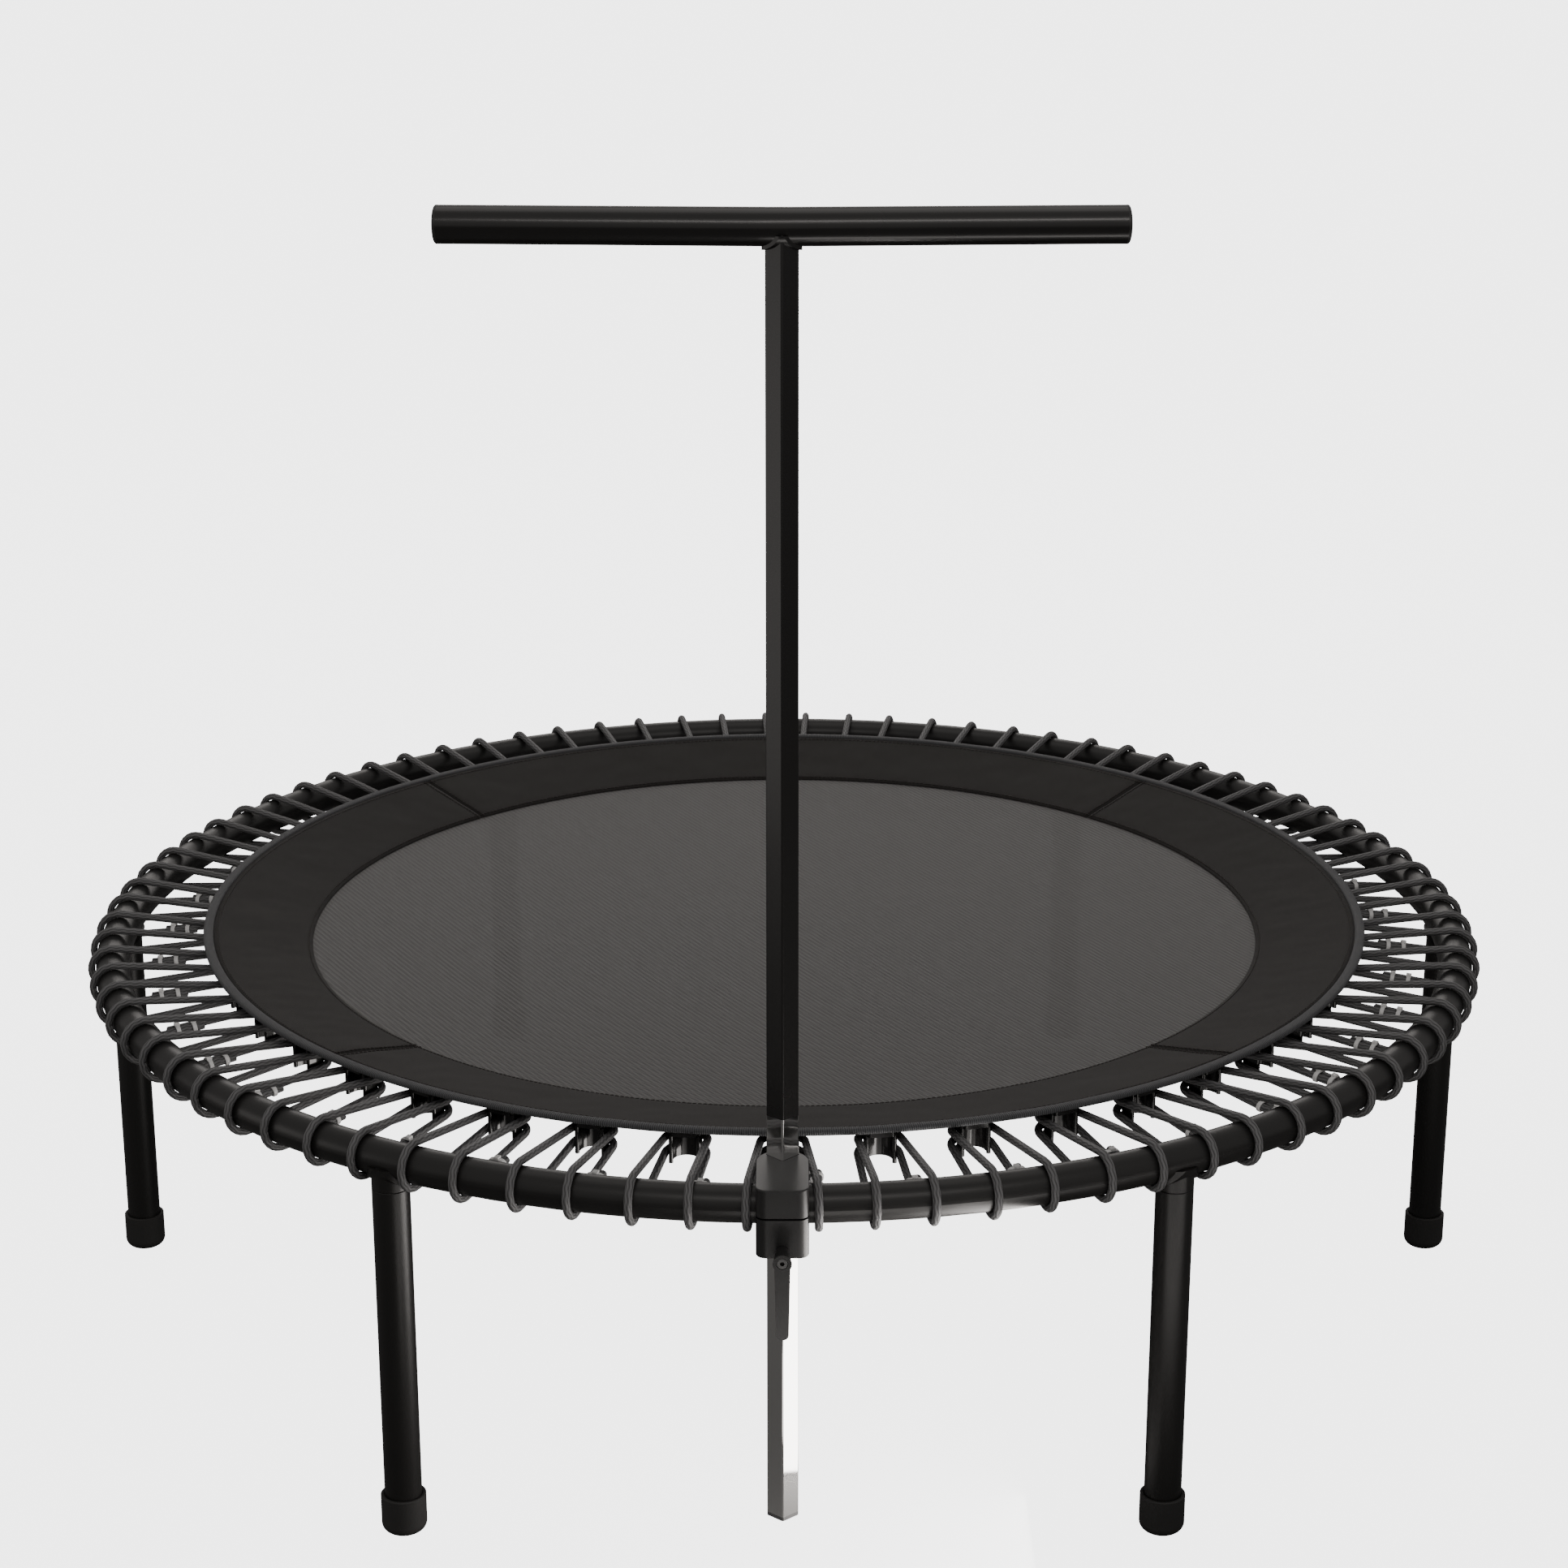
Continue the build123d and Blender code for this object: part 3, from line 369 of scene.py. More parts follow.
def border_material(colours):
    """Plain-woven border cloth."""
    material, tree, shader = new_material("border_cloth", colours.border_cloth, 0.82)
    weave = place_group(tree, "thread_weave", pitch=0.0009, turn_a=0.0, turn_b=1.5708, pitch_ratio=1.0)
    tone = noise_node(tree, tree.nodes.new("ShaderNodeTexCoord").outputs["Object"], 30.0, 6.0)
    tree.links.new(mix_colours(tree, tone, scaled(colours.border_cloth, 0.8),
                               scaled(colours.border_cloth, 1.4)), shader.inputs["Base Color"])
    add_bump(tree, shader, weave.outputs["Height"], 0.35, 0.0002)
    shader.inputs["Sheen Weight"].default_value = 0.03
    shader.inputs["Sheen Roughness"].default_value = 0.5
    return material


def binding_material(colours):
    """Ribbed tape round the mat's edge."""
    material, tree, shader = new_material("ribbed_tape", colours.binding_tape, 0.7)
    ribs = place_group(tree, "round_ribs", ribs=1900.0)
    tree.links.new(mix_colours(tree, ribs.outputs["Height"], scaled(colours.binding_tape, 0.45),
                               scaled(colours.binding_tape, 1.6)), shader.inputs["Base Color"])
    add_bump(tree, shader, ribs.outputs["Height"], 0.6, 0.0006)
    shader.inputs["Sheen Weight"].default_value = 0.06
    shader.inputs["Sheen Roughness"].default_value = 0.4
    return material


def cord_material(colours):
    """Braided sheath with lines along the cord."""
    material, tree, shader = new_material("braided_sheath", colours.cord_sheath, 0.6)
    braid = place_group(tree, "braid")
    tree.links.new(mix_colours(tree, braid.outputs["Height"], scaled(colours.cord_sheath, 0.35),
                               scaled(colours.cord_sheath, 1.9)), shader.inputs["Base Color"])
    add_bump(tree, shader, braid.outputs["Height"], 0.55, 0.0007)
    shader.inputs["Sheen Weight"].default_value = 0.05
    shader.inputs["Sheen Roughness"].default_value = 0.4
    return material


def thread_material(name, colour):
    """Sewing thread."""
    return coated(name, colour, 0.6, grain=4000.0, relief=0.2)


def chrome_material():
    """Bright plated steel with a faint grain and uneven gloss."""
    material, tree, shader = new_material("bright_plating", (0.80, 0.80, 0.79), 0.07, 1.0)
    group = place_group(tree, "fine_grain", grain_scale=260.0, roughness=0.07, patch_amount=0.05)
    add_bump(tree, shader, group.outputs["Height"], 0.012, 0.0004)
    tree.links.new(group.outputs["Roughness"], shader.inputs["Roughness"])
    return material


def dress(node, material):
    """Gives a CAD node its material."""
    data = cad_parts[node].data
    data.materials.clear()
    data.materials.append(material)


# ---- Mesh helpers ----
def new_piece(name, verts, faces, material, smooth=True, uvs=None):
    """An object from points and faces. uvs gives one (u, v) for each face corner."""
    mesh = bpy.data.meshes.new(name)
    mesh.from_pydata([tuple(v) for v in verts], [], faces)
    if uvs is not None:
        layer = mesh.uv_layers.new(name="UVMap")
        layer.data.foreach_set("uv", [value for pair in uvs for value in pair])
    mesh.materials.append(material)
    mesh.polygons.foreach_set("use_smooth", [smooth] * len(mesh.polygons))
    mesh.update()
    piece = bpy.data.objects.new(name, mesh)
    bpy.context.scene.collection.objects.link(piece)
    return piece


def polar(radius, angle, height):
    """A point by radius and angle about the mat's middle."""
    return Vector((radius * math.cos(angle), radius * math.sin(angle), height))


def tube_along(points, radius, sides, closed=False, ripple=None):
    """Points, faces and corner (length, turn) values of a tube along a path."""
    count = len(points)
    verts, faces, uvs, lengths = [], [], [], [0.0]
    for a, b in zip(points, points[1:] + points[:1]):
        lengths.append(lengths[-1] + (b - a).length)
    up = None
    for index, point in enumerate(points):
        ahead = points[(index + 1) % count] if closed or index < count - 1 else point
        behind = points[index - 1] if closed or index > 0 else point
        tangent = (ahead - behind).normalized()
        if up is None:
            up = tangent.orthogonal().normalized()
        up = (up - tangent * up.dot(tangent)).normalized()
        side = tangent.cross(up)
        size = radius if ripple is None else radius * ripple(index)
        for k in range(sides):
            turn = TAU * k / sides
            verts.append(point + (up * math.cos(turn) + side * math.sin(turn)) * size)
    for index in range(count if closed else count - 1):
        following = (index + 1) % count
        for k in range(sides):
            right = (k + 1) % sides
            faces.append((index * sides + k, index * sides + right, following * sides + right,
                          following * sides + k))
            low, high = lengths[index], lengths[index + 1]
            uvs += [(low, k / sides), (low, (k + 1) / sides), (high, (k + 1) / sides), (high, k / sides)]
    if not closed:
        for start, tip in ((0, points[0]), ((count - 1) * sides, points[-1])):
            inward = (points[1] - points[0]) if start == 0 else (points[-2] - points[-1])
            verts.append(tip - inward.normalized() * radius * 0.45)
            for k in range(sides):
                pair = (start + k, start + (k + 1) % sides)
                faces.append((*(pair if start else pair[::-1]), len(verts) - 1))
                uvs += [(0.0, k / sides), (0.0, (k + 1) / sides), (0.0, k / sides)]
    return verts, faces, uvs


def join_parts(parts):
    """Joins (points, faces, uvs) of several bodies into one."""
    verts, faces, uvs = [], [], []
    for more_verts, more_faces, more_uvs in parts:
        start = len(verts)
        verts += more_verts
        faces += [tuple(index + start for index in face) for face in more_faces]
        uvs += more_uvs
    return verts, faces, uvs


def ring_sweep(profile, segments):
    """Points and faces of a closed profile of (radius, height) swept round the mat."""
    verts, faces, size = [], [], len(profile)
    for index in range(segments):
        angle = TAU * index / segments
        verts += [polar(radius, angle, height) for radius, height in profile]
    for index in range(segments):
        following = (index + 1) % segments
        for k in range(size):
            right = (k + 1) % size
            faces.append((index * size + k, following * size + k, following * size + right,
                          index * size + right))
    return verts, faces


def stitch_row(path_point, count, length, radius=0.45 * MM):
    """A row of short raised stitches. path_point(t) gives a place for t from 0 to 1."""
    parts = []
    for index in range(count):
        middle = (index + 0.5) / count
        here = path_point(middle)
        ahead = (path_point(middle + 1e-4) - here).normalized()
        bend = Vector((0, 0, radius * 0.6))
        points = [here - ahead * length / 2 - bend, here - ahead * length / 4 + bend * 0.4,
                  here + bend * 0.6, here + ahead * length / 4 + bend * 0.4, here + ahead * length / 2 - bend]
        parts.append(tube_along(points, radius, 5))
    return join_parts(parts)


def taut_route(corners, radii, steps=7):
    """A taut cord's centre line: straight runs joined by arcs round each corner."""
    route = [corners[0]]
    for before, corner, after, radius in zip(corners, corners[1:-1], corners[2:], radii):
        back, ahead = (before - corner).normalized(), (after - corner).normalized()
        half = math.acos(max(-1.0, min(1.0, back.dot(ahead)))) / 2
        reach = radius / math.tan(half)
        centre = corner + (back + ahead).normalized() * radius / math.sin(half)
        first, last = corner + back * reach - centre, corner + ahead * reach - centre
        opening = first.angle(last)
        for k in range(steps + 1):
            share = k / steps
            spoke = first * math.sin((1 - share) * opening) + last * math.sin(share * opening)
            route.append(centre + spoke / math.sin(opening))
    route.append(corners[-1])
    even = []
    for a, b in zip(route, route[1:]):
        pieces = max(1, round((b - a).length / 0.012))
        even += [a.lerp(b, k / pieces) for k in range(pieces)]
    return even + [route[-1]]


class BungeeShape:
    """Where one ring's cord runs, in the plane of its own anchor: out, sideways and up."""

    def __init__(self, sizes, spread, splice):
        self.sizes = sizes
        self.spread = spread
        self.start, self.end = splice
        self.turn_r = sizes.anchor_radius + sizes.cord_gap + sizes.cord_radius
        self.wrap_r = TUBE_R + sizes.cord_gap + sizes.cord_radius
        self.back = sizes.anchor_circle - self.turn_r
        self.tube = math.sqrt(RING_R**2 - spread**2)

    def slope(self, level, side):
        """Slope of a strand from the anchor to the tube's top (1) or underside (-1)."""
        run, drop = self.tube - self.back, TUBE_Z - level
        return math.tan(math.atan2(drop, run) + side * math.asin(self.wrap_r / math.hypot(run, drop)))

    def height(self, level, side, out):
        """Height of a strand at a distance out from the mat's middle."""
        return level + self.slope(level, side) * (out - self.back)

    def splice_side(self, out):
        """Sideways place of the strand that ends beside the first."""
        reach = (out - self.back) / (self.end - self.back)
        return self.turn_r + (self.spread - self.sizes.splice_pitch - self.turn_r) * reach

    def route(self):
        """The cord's centre line, from its first end to its second."""
        upper = self.sizes.cord_upper
        lower = upper - self.sizes.cord_pitch
        outside = self.tube + self.wrap_r
        top, under = self.height(upper, 1, outside), self.height(lower, -1, outside)
        spread, turn = self.spread, self.turn_r
        corners = [
            (self.start, spread, self.height(lower, -1, self.start)), (outside, spread, under),
            (outside, spread, top), (self.back, turn, upper), (self.back, -turn, upper),
            (outside, -spread, top), (outside, -spread, under), (self.back, -turn, lower),
            (self.back, turn, lower),
            (self.end, spread - self.sizes.splice_pitch, self.height(lower, -1, self.end)),
        ]
        tight = turn - self.sizes.cord_gap
        radii = [self.wrap_r, self.wrap_r, tight, tight, self.wrap_r, self.wrap_r, tight, tight]
        return taut_route([Vector(c) for c in corners], radii)

    def tie(self, out, wobble):
        """Points and faces of one tie: a band round both cords, with its head."""
        sizes = self.sizes
        lower = sizes.cord_upper - sizes.cord_pitch
        near, far = self.splice_side(out), self.spread
        slope = self.slope(lower, -1)
        ahead = Vector((1, 0, slope)).normalized()
        side = Vector((0, 1, 0))
        up = ahead.cross(side)
        middle = Vector((out, (near + far) / 2, self.height(lower, -1, out)))
        inner, outer = sizes.cord_radius + TIE_INNER, sizes.cord_radius + TIE_OUTER
        half = abs(far - near) / 2
        outline = []
        for centre, first in ((half, -math.pi / 2), (-half, math.pi / 2)):
            for k in range(ARC_STEPS):
                turn = first + math.pi * k / (ARC_STEPS - 1)
                outline.append((centre, math.cos(turn), math.sin(turn)))
        verts, faces = [], []
        width = TIE_HALF_WIDTH
        profile = [(-width, inner), (-width, outer - TIE_EDGE), (-width * 0.7, outer), (width * 0.7, outer),
                   (width, outer - TIE_EDGE), (width, inner)]
        for centre, lean, rise in outline:
            for along, radius in profile:
                verts.append(middle + ahead * (along + wobble * 0.3 * MM) + side * (centre + lean * radius)
                             + up * rise * radius)
        size = len(profile)
        for index in range(len(outline)):
            following = (index + 1) % len(outline)
            for k in range(size):
                right = (k + 1) % size
                faces.append((index * size + k, index * size + right, following * size + right,
                              following * size + k))
        head = len(verts)
        half_long, half_wide = HEAD_HALF
        shift = wobble * 1.5 * MM
        for along in (-half_long, half_long):
            for offset in (shift - half_wide, shift + half_wide):
                for rise in (outer - HEAD_BELOW, outer + HEAD_ABOVE):
                    verts.append(middle + ahead * along + side * offset + up * rise)
        faces += [tuple(head + k for k in face) for face in
                  ((0, 1, 3, 2), (4, 6, 7, 5), (0, 4, 5, 1), (2, 3, 7, 6), (1, 5, 7, 3), (0, 2, 6, 4))]
        return verts, faces


def turned(points, angle):
    """Points turned about the mat's middle from the +X direction to an angle."""
    turn = Matrix.Rotation(angle, 3, "Z")
    return [turn @ point for point in points]


# ---- Operators ----
class TrampolineOperator(bpy.types.Operator):
    """Base of the operators: the sizes and colours of the scene."""

    bl_options = {"REGISTER", "UNDO"}

    @property
    def sizes(self):
        return bpy.context.scene.trampoline_sizes

    @property
    def colours(self):
        return bpy.context.scene.trampoline_colours


class TRAMPOLINE_OT_stage(TrampolineOperator):
    """Floor, soft lights, surroundings and camera"""

    bl_idname = "trampoline.stage"
    bl_label = "Stage"

    def add_light(self, name, place, aim, size, power):
        """A rectangular soft light that faces a point."""
        data = bpy.data.lights.new(name, "AREA")
        data.shape = "RECTANGLE"
        data.size, data.size_y = size
        data.energy = power
        data.color = LIGHT_COLOUR
        light = bpy.data.objects.new(name, data)
        light.location = place
        light.rotation_euler = (Vector(aim) - Vector(place)).to_track_quat("-Z", "Y").to_euler()
        light.visible_camera = False
        bpy.context.scene.collection.objects.link(light)

    def execute(self, context):
        scene = bpy.context.scene
        camera = bpy.data.objects.new("camera", bpy.data.cameras.new("camera"))
        camera.location = (0.0072, -2.917, 1.0695)
        camera.rotation_euler = (math.radians(71.43), 0, 0)
        camera.data.lens = 77.1
        camera.data.sensor_width = 36
        camera.data.shift_x, camera.data.shift_y = -0.0051, 0.0291
        camera.data.clip_end = 60
        scene.collection.objects.link(camera)
        scene.camera = camera

        side, cells = 60.0, 12
        verts = [Vector((side * (i / cells - 0.5), side * (j / cells - 0.5), FLOOR_Z))
                 for j in range(cells + 1) for i in range(cells + 1)]
        faces = [(j * (cells + 1) + i, j * (cells + 1) + i + 1, (j + 1) * (cells + 1) + i + 1,
                  (j + 1) * (cells + 1) + i) for j in range(cells) for i in range(cells)]
        material, tree, shader = new_material("pale_floor", self.colours.floor_paint, 0.9)
        shader.inputs["Emission Color"].default_value = (1, 1, 1, 1)
        seen = tree.nodes.new("ShaderNodeLightPath").outputs["Is Camera Ray"]
        tree.links.new(math_node(tree, "MULTIPLY", seen, FLOOR_GLOW), shader.inputs["Emission Strength"])
        floor = new_piece("floor", verts, faces, material, smooth=False)

        self.add_light("softbox_front", (0.3, -2.6, 2.35), (0, -0.6, 0.2), (2.6, 0.3), 12)
        self.add_light("softbox_top", (0.0, 0.6, 3.2), (0, 0, 0), (2.6, 2.0), 8)
        self.add_light("softbox_back", (0.0, 3.4, 1.35), (0, 0, 0), (3.6, 0.9), 17)
        self.add_light("softbox_left", (-2.4, -0.7, 0.15), (0, -0.6, 0.15), (1.2, 0.9), 2.6)
        self.add_light("floor_card", (0.55, -1.0, FLOOR_Z + 0.02), (0.55, -1.0, 1), (1.3, 0.24), 2.6)
        self.add_light("post_card", (0.20, -0.6, -0.2), (0, -0.6, -0.2), (0.25, 0.25), 1.8)

        world = scene.world or bpy.data.worlds.new("studio")
        scene.world = world
        world.use_nodes = True
        tree = world.node_tree
        background = tree.nodes["Background"]
        light_path = tree.nodes.new("ShaderNodeLightPath")
        surround = mix_colours(tree, light_path.outputs["Is Camera Ray"], (0.36, 0.348, 0.338),
                               (FLOOR_GLOW,) * 3)
        tree.links.new(surround, background.inputs["Color"])
        background.inputs["Strength"].default_value = 1.0
        return {"FINISHED"}


class TRAMPOLINE_OT_frame_finish(TrampolineOperator):
    """Powder coat of the ring, stubs and legs, steel of the threads and rubber of the feet"""

    bl_idname = "trampoline.frame_finish"
    bl_label = "Frame finish"

    def execute(self, context):
        paint = coated("black_powder_coat", self.colours.frame_paint, 0.36, grain=1500.0, relief=0.10,
                       patch=0.10)
        steel = coated("zinc_steel", (0.46, 0.46, 0.45), 0.34, metallic=1.0, relief=0.06)
        rubber = coated("foot_rubber", self.colours.foot_rubber, 0.72, grain=2600.0, relief=0.22, patch=0.10)
        for node in ("ring_tube", "leg_stubs", "stub_welds"):
            dress(node, paint)
        dress("leg_studs", steel)
        for number in range(1, 7):
            dress(f"leg_tube_{number}", paint)
            dress(f"leg_insert_{number}", steel)
            dress(f"foot_cap_{number}", rubber)
        return {"FINISHED"}


class TRAMPOLINE_OT_mast_finish(TrampolineOperator):
    """Plating of the lower post, paint of the upper post and bar, and their plastic plugs"""

    bl_idname = "trampoline.mast_finish"
    bl_label = "Mast finish"

    def execute(self, context):
        paint = coated("black_bar_paint", scaled(self.colours.frame_paint, 0.9), 0.27, grain=1100.0,
                       relief=0.06, patch=0.06, coat_weight=0.25, coat_roughness=0.15)
        plug = coated("grey_plug_plastic", (0.10, 0.10, 0.10), 0.45, grain=2400.0, relief=0.10)
        cap = coated("black_cap_plastic", (0.022, 0.022, 0.022), 0.42, grain=2400.0, relief=0.12)
        dress("lower_post", chrome_material())
        dress("spigot", coated("spigot_steel", (0.42, 0.42, 0.41), 0.36, metallic=1.0, relief=0.06))
        dress("post_end_plug", plug)
        for node in ("upper_post", "bar_weld", "handlebar"):
            dress(node, paint)
        for node in ("bar_cap_left", "bar_cap_right"):
            dress(node, cap)
        return {"FINISHED"}


class TRAMPOLINE_OT_clamp_finish(TrampolineOperator):
    """Satin black of the clamp halves and lever, and their screws"""

    bl_idname = "trampoline.clamp_finish"
    bl_label = "Clamp finish"

    def execute(self, context):
        block = coated("satin_black_clamp", (0.020, 0.020, 0.020), 0.30, grain=1300.0, relief=0.09,
                       patch=0.10)
        lever = coated("lever_black", (0.018, 0.018, 0.018), 0.30, grain=1800.0, relief=0.10)
        screws = coated("black_screw_steel", (0.11, 0.11, 0.11), 0.32, metallic=1.0, grain=3000.0,
                        relief=0.08)
        pad = coated("pad_plastic", (0.05, 0.05, 0.05), 0.5, grain=2500.0, relief=0.12)
        dress("clamp_upper", block)
        dress("clamp_lower", block)
        dress("lever_handle", lever)
        dress("press_pad", pad)
        for node in ("clamp_screws", "lever_stud", "lever_screw"):
            dress(node, screws)
        return {"FINISHED"}


class TRAMPOLINE_OT_jump_mesh(TrampolineOperator):
    """Round jump mesh, stretched with a slight dish"""

    bl_idname = "trampoline.jump_mesh"
    bl_label = "Jump mesh"

    def execute(self, context):
        rings, spokes = 36, 168
        dish = self.sizes.dish
        verts = [Vector((0, 0, -dish - MESH_SINK))]
        for i in range(1, rings + 1):
            radius = MESH_R * i / rings
            for k in range(spokes):
                angle = TAU * k / spokes
                soft = noise.noise(polar(radius * 7, angle, 3.0)) * 0.25 * MM * (1 - i / rings)
                verts.append(polar(radius, angle, -dish * (1 - (i / rings) ** 2) - MESH_SINK + soft))
        faces = [(0, 1 + k, 1 + (k + 1) % spokes) for k in range(spokes)]
        for i in range(rings - 1):
            for k in range(spokes):
                right = (k + 1) % spokes
                inner, outer = 1 + i * spokes, 1 + (i + 1) * spokes
                faces.append((inner + k, outer + k, outer + right, inner + right))
        piece = new_piece("mesh_cloth", verts, faces, jump_mesh_material(self.sizes, self.colours))
        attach(piece, "mat")
        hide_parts("jump_mesh")
        return {"FINISHED"}


class TRAMPOLINE_OT_border(TrampolineOperator):
    """Four border panels with soft ripples, sewn seams and stitch rows"""

    bl_idname = "trampoline.border"
    bl_label = "Border panels"

    def surface(self, radius, angle):
        """Height of the border's top at a place, ripples included."""
        share = (radius - MESH_R) / (PANEL_R - MESH_R)
        low, high = mat_thick, binding_low.z + 0.5 * (binding_high.z - binding_low.z)
        base = low + (high + 1.0 * MM - low) * share
        inside = max(0.0, math.sin(math.pi * min(1.0, max(0.0, share))))
        along = noise.noise(Vector((math.cos(angle) * 9, math.sin(angle) * 9, share * 1.5)))
        fine = noise.noise(Vector((math.cos(angle) * 34, math.sin(angle) * 34, share * 4 + 7)))
        pull = math.cos(angle * self.sizes.ring_count + math.pi / 2 * 3) * 0.35 * share
        return base - 0.4 * MM + self.sizes.ripple * (inside * (along * 1.3 + fine * 0.7) + pull * inside)

    def execute(self, context):
        cloth = border_material(self.colours)
        thread = thread_material("border_thread", scaled(self.colours.border_cloth, 2.6))
        steps, cells = 16, 120
        for number in range(1, 5):
            middle = math.pi / 2 * (number - 1)
            half = math.pi / 4 - SEAM_HALF
            top, under, faces = [], [], []
            for j in range(cells + 1):
                angle = middle - half + 2 * half * j / cells
                edge = min(j, cells - j)
                tuck = SEAM_TUCK[edge] if edge < len(SEAM_TUCK) else 0.0
                for i in range(steps + 1):
                    radius = MESH_R + (PANEL_R - MESH_R) * i / steps
                    roll = 0.0 if i else EDGE_ROLL
                    place = polar(radius, angle, self.surface(radius, angle) - tuck - roll)
                    top.append(place)
                    under.append(place - Vector((0, 0, CLOTH_THICK - tuck * 0.5 - roll)))
                    if i == 0:
                        under[-1].z = -mat_thick
            row = steps + 1
            count = len(top)
            for j in range(cells):
                for i in range(steps):
                    a = j * row + i
                    faces.append((a, a + 1, a + row + 1, a + row))
                    faces.append((count + a, count + a + row, count + a + row + 1, count + a + 1))
            for j in range(cells):
                for i in (0, steps):
                    a, b = j * row + i, (j + 1) * row + i
                    faces.append((a, b, count + b, count + a) if i == 0 else (a, count + a, count + b, b))
            for i in range(steps):
                for j in (0, cells):
                    a, b = j * row + i, j * row + i + 1
                    faces.append((a, count + a, count + b, b) if j == 0 else (a, b, count + b, count + a))
            panel = new_piece(f"border_cloth_{number}", top + under, faces, cloth)
            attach(panel, "mat")
            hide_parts(f"border_panel_{number}")

            rows = []
            for radius in (MESH_R + 3.5 * MM, PANEL_R - 4.0 * MM):
                rows.append(stitch_row(
                    lambda t, r=radius: polar(r, middle - half + 2 * half * t,
                                              self.surface(r, middle - half + 2 * half * t) + 0.05 * MM),
                    round(2 * half * radius / (self.sizes.stitch_length * 1.35)), self.sizes.stitch_length))
            for offset in (-SEAM_ROW, SEAM_ROW):
                angle = middle - half
                rows.append(stitch_row(
                    lambda t, o=offset, a=angle: polar(
                        MESH_R + (PANEL_R - MESH_R) * t, a + o / MESH_R + math.copysign(SEAM_HALF, o),
                        self.surface(MESH_R + (PANEL_R - MESH_R) * t, a + o / MESH_R) + 0.05 * MM),
                    round((PANEL_R - MESH_R) / (self.sizes.stitch_length * 1.35)), self.sizes.stitch_length))
            verts, faces, uvs = join_parts(rows)
            stitches = new_piece(f"border_stitches_{number}", verts, faces, thread, uvs=uvs)
            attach(stitches, "mat")
        return {"FINISHED"}


class TRAMPOLINE_OT_edge_tape(TrampolineOperator):
    """Ribbed tape round the mat's edge, and the webbing band under the border's inner edge"""

    bl_idname = "trampoline.edge_tape"
    bl_label = "Edge tape"

    def execute(self, context):
        tape = binding_material(self.colours)
        middle = (binding_low.z + binding_high.z) / 2
        half_w, half_h = (MAT_R - PANEL_R) / 2, (binding_high.z - binding_low.z) / 2
        profile = []
        for k in range(20):
            turn = TAU * k / 20
            across, rise = math.cos(turn), math.sin(turn)
            square = 1 / max(abs(across), abs(rise)) ** 0.55
            profile.append((PANEL_R + half_w + half_w * min(1.0, max(-1.0, across * square)),
                            middle + half_h * min(1.0, max(-1.0, rise * square))))
        verts, faces = ring_sweep(profile, 720)
        for vert in verts:
            angle = math.atan2(vert.y, vert.x)
            vert.z += noise.noise(Vector((math.cos(angle) * 12, math.sin(angle) * 12, 2))) * 0.35 * MM
        piece = new_piece("edge_tape", verts, faces, tape)
        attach(piece, "mat")
        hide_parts("edge_binding")

        webbing, tree, shader = new_material("hem_webbing", scaled(self.colours.border_cloth, 1.2), 0.75)
        weave = place_group(tree, "thread_weave", pitch=0.0021, turn_a=0.7, turn_b=-0.7, pitch_ratio=1.0)
        tree.links.new(mix_colours(tree, weave.outputs["Height"], scaled(self.colours.border_cloth, 0.6),
                                   scaled(self.colours.border_cloth, 1.8)), shader.inputs["Base Color"])
        add_bump(tree, shader, weave.outputs["Height"], 0.6, 0.0006)
        low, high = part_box("hem_band")
        inner, outer, flat = MESH_R - HEM_FLAT, high.x, low.z + HEM_THICK
        profile = [(inner, low.z), (inner, flat), (MESH_R, flat), (outer, high.z),
                   (outer, high.z - HEM_THICK), (MESH_R, low.z)]
        verts, faces = ring_sweep(profile, 360)
        band = new_piece("hem_webbing", verts, faces, webbing)
        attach(band, "mat")
        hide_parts("hem_band")
        return {"FINISHED"}


class TRAMPOLINE_OT_anchors(TrampolineOperator):
    """Glossy plastic of the anchors"""

    bl_idname = "trampoline.anchors"
    bl_label = "Anchors"

    def execute(self, context):
        plastic = coated("anchor_plastic", (0.014, 0.014, 0.014), 0.16, grain=700.0, relief=0.03, patch=0.06)
        dress("anchors", plastic)
        return {"FINISHED"}


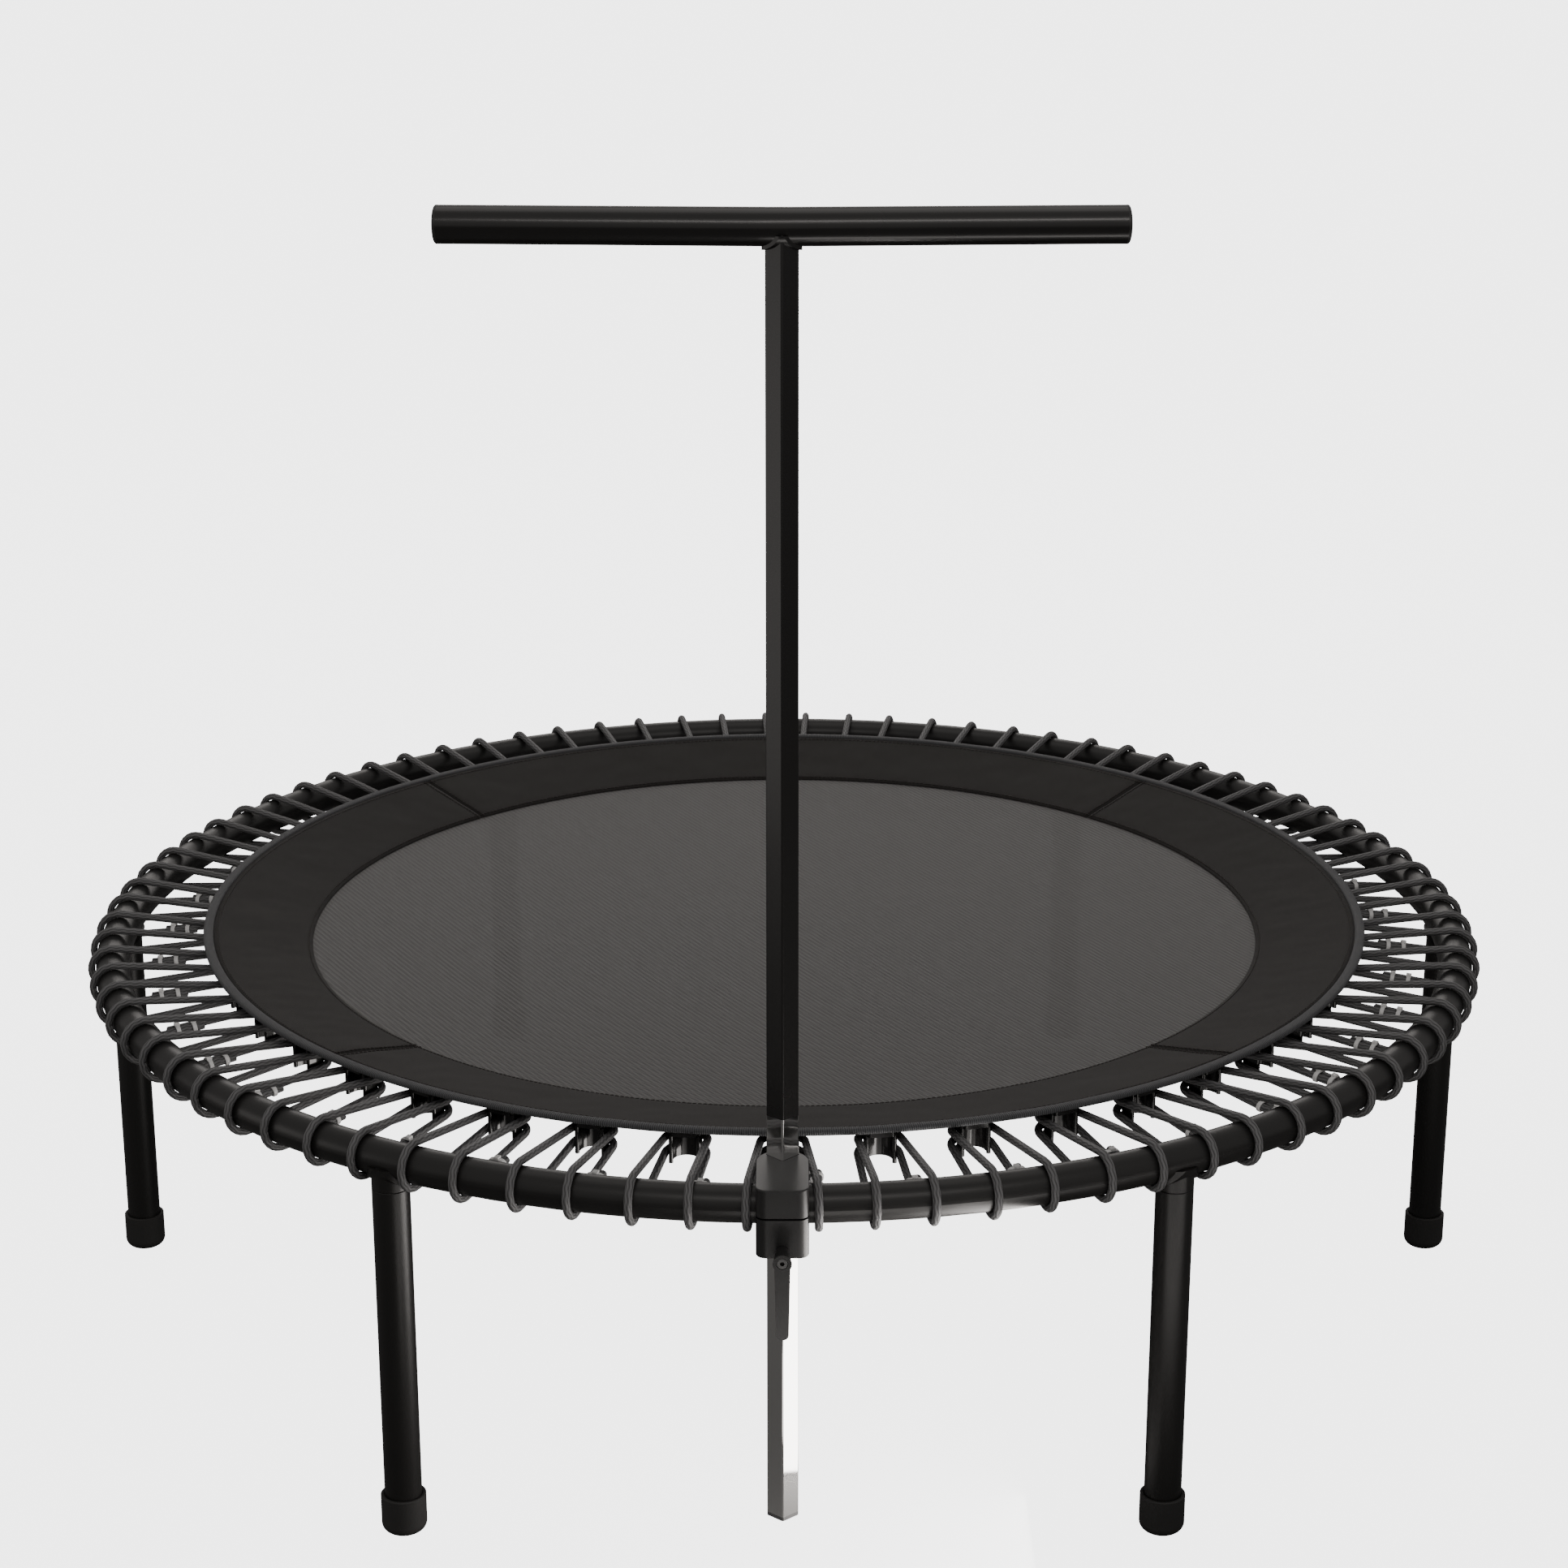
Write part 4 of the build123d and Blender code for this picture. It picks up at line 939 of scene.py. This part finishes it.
class TRAMPOLINE_OT_bungee_rings(TrampolineOperator):
    """Braided bungee rings with their two white ties"""

    bl_idname = "trampoline.bungee_rings"
    bl_label = "Bungee rings"

    def execute(self, context):
        sizes = self.sizes
        braid = cord_material(self.colours)
        white = coated("white_tie_plastic", self.colours.tie_plastic, 0.38, grain=1800.0, relief=0.06)
        even = BungeeShape(sizes, RING_R * TAU / sizes.ring_count / 4,
                           (RING_R - SPLICE_FROM, RING_R - SPLICE_TO))
        mast_end = -clamp_high.y - MAST_SPLICE_GAP
        beside = BungeeShape(sizes, clamp_high.x + sizes.cord_radius + MAST_CORD_GAP,
                             (mast_end - MAST_SPLICE_LENGTH, mast_end))
        for index in range(sizes.ring_count):
            shape = beside if index == 0 else even
            angle = MAST_ANGLE + TAU * index / sizes.ring_count
            route = shape.route()
            verts, faces, uvs = tube_along(turned(route, angle), sizes.cord_radius, 12)
            cord = new_piece(f"bungee_ring_{index + 1}", verts, faces, braid, uvs=uvs)
            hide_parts("bungee_rings")
            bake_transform(cord)
            middle = (shape.start + shape.end) / 2
            tie_verts, tie_faces = [], []
            for out in (middle - TIE_FROM_MIDDLE, middle + TIE_FROM_MIDDLE):
                wobble = noise.noise(Vector((index * 3.7, out * 90, 1.5)))
                more_verts, more_faces = shape.tie(out, wobble)
                start = len(tie_verts)
                tie_verts += more_verts
                tie_faces += [tuple(k + start for k in face) for face in more_faces]
            ties = new_piece(f"tie_pair_{index + 1}", turned(tie_verts, angle), tie_faces, white,
                             smooth=False)
            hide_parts("cord_ties")
            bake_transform(ties)
        return {"FINISHED"}


class TRAMPOLINE_PT_panel(bpy.types.Panel):
    """The operators and values of the mini trampoline"""

    bl_label = "Mini trampoline"
    bl_idname = "TRAMPOLINE_PT_panel"
    bl_space_type = "VIEW_3D"
    bl_region_type = "UI"
    bl_category = "Trampoline"

    def draw(self, context):
        column = self.layout.column(align=True)
        for operator in OPERATORS:
            column.operator(operator.bl_idname)
        for group in (context.scene.trampoline_sizes, context.scene.trampoline_colours):
            box = self.layout.box()
            for name in group.bl_rna.properties.keys():
                if name not in {"rna_type", "name"}:
                    box.prop(group, name)


OPERATORS = (
    TRAMPOLINE_OT_stage, TRAMPOLINE_OT_frame_finish, TRAMPOLINE_OT_mast_finish, TRAMPOLINE_OT_clamp_finish,
    TRAMPOLINE_OT_jump_mesh, TRAMPOLINE_OT_border, TRAMPOLINE_OT_edge_tape, TRAMPOLINE_OT_anchors,
    TRAMPOLINE_OT_bungee_rings,
)
CLASSES = (TrampolineSizes, TrampolineColours, *OPERATORS, TRAMPOLINE_PT_panel)


def register():
    """Registers the classes and hangs the values on the scene."""
    for cls in CLASSES:
        bpy.utils.register_class(cls)
    bpy.types.Scene.trampoline_sizes = PointerProperty(type=TrampolineSizes)
    bpy.types.Scene.trampoline_colours = PointerProperty(type=TrampolineColours)


def unregister():
    """Takes them off again."""
    del bpy.types.Scene.trampoline_colours
    del bpy.types.Scene.trampoline_sizes
    for cls in reversed(CLASSES):
        bpy.utils.unregister_class(cls)


def main():
    """Builds every piece in order."""
    register()
    bpy.ops.trampoline.stage()
    bpy.ops.trampoline.frame_finish()
    bpy.ops.trampoline.mast_finish()
    bpy.ops.trampoline.clamp_finish()
    bpy.ops.trampoline.jump_mesh()
    bpy.ops.trampoline.border()
    bpy.ops.trampoline.edge_tape()
    bpy.ops.trampoline.anchors()
    bpy.ops.trampoline.bungee_rings()


if __name__ == "__main__":
    main()
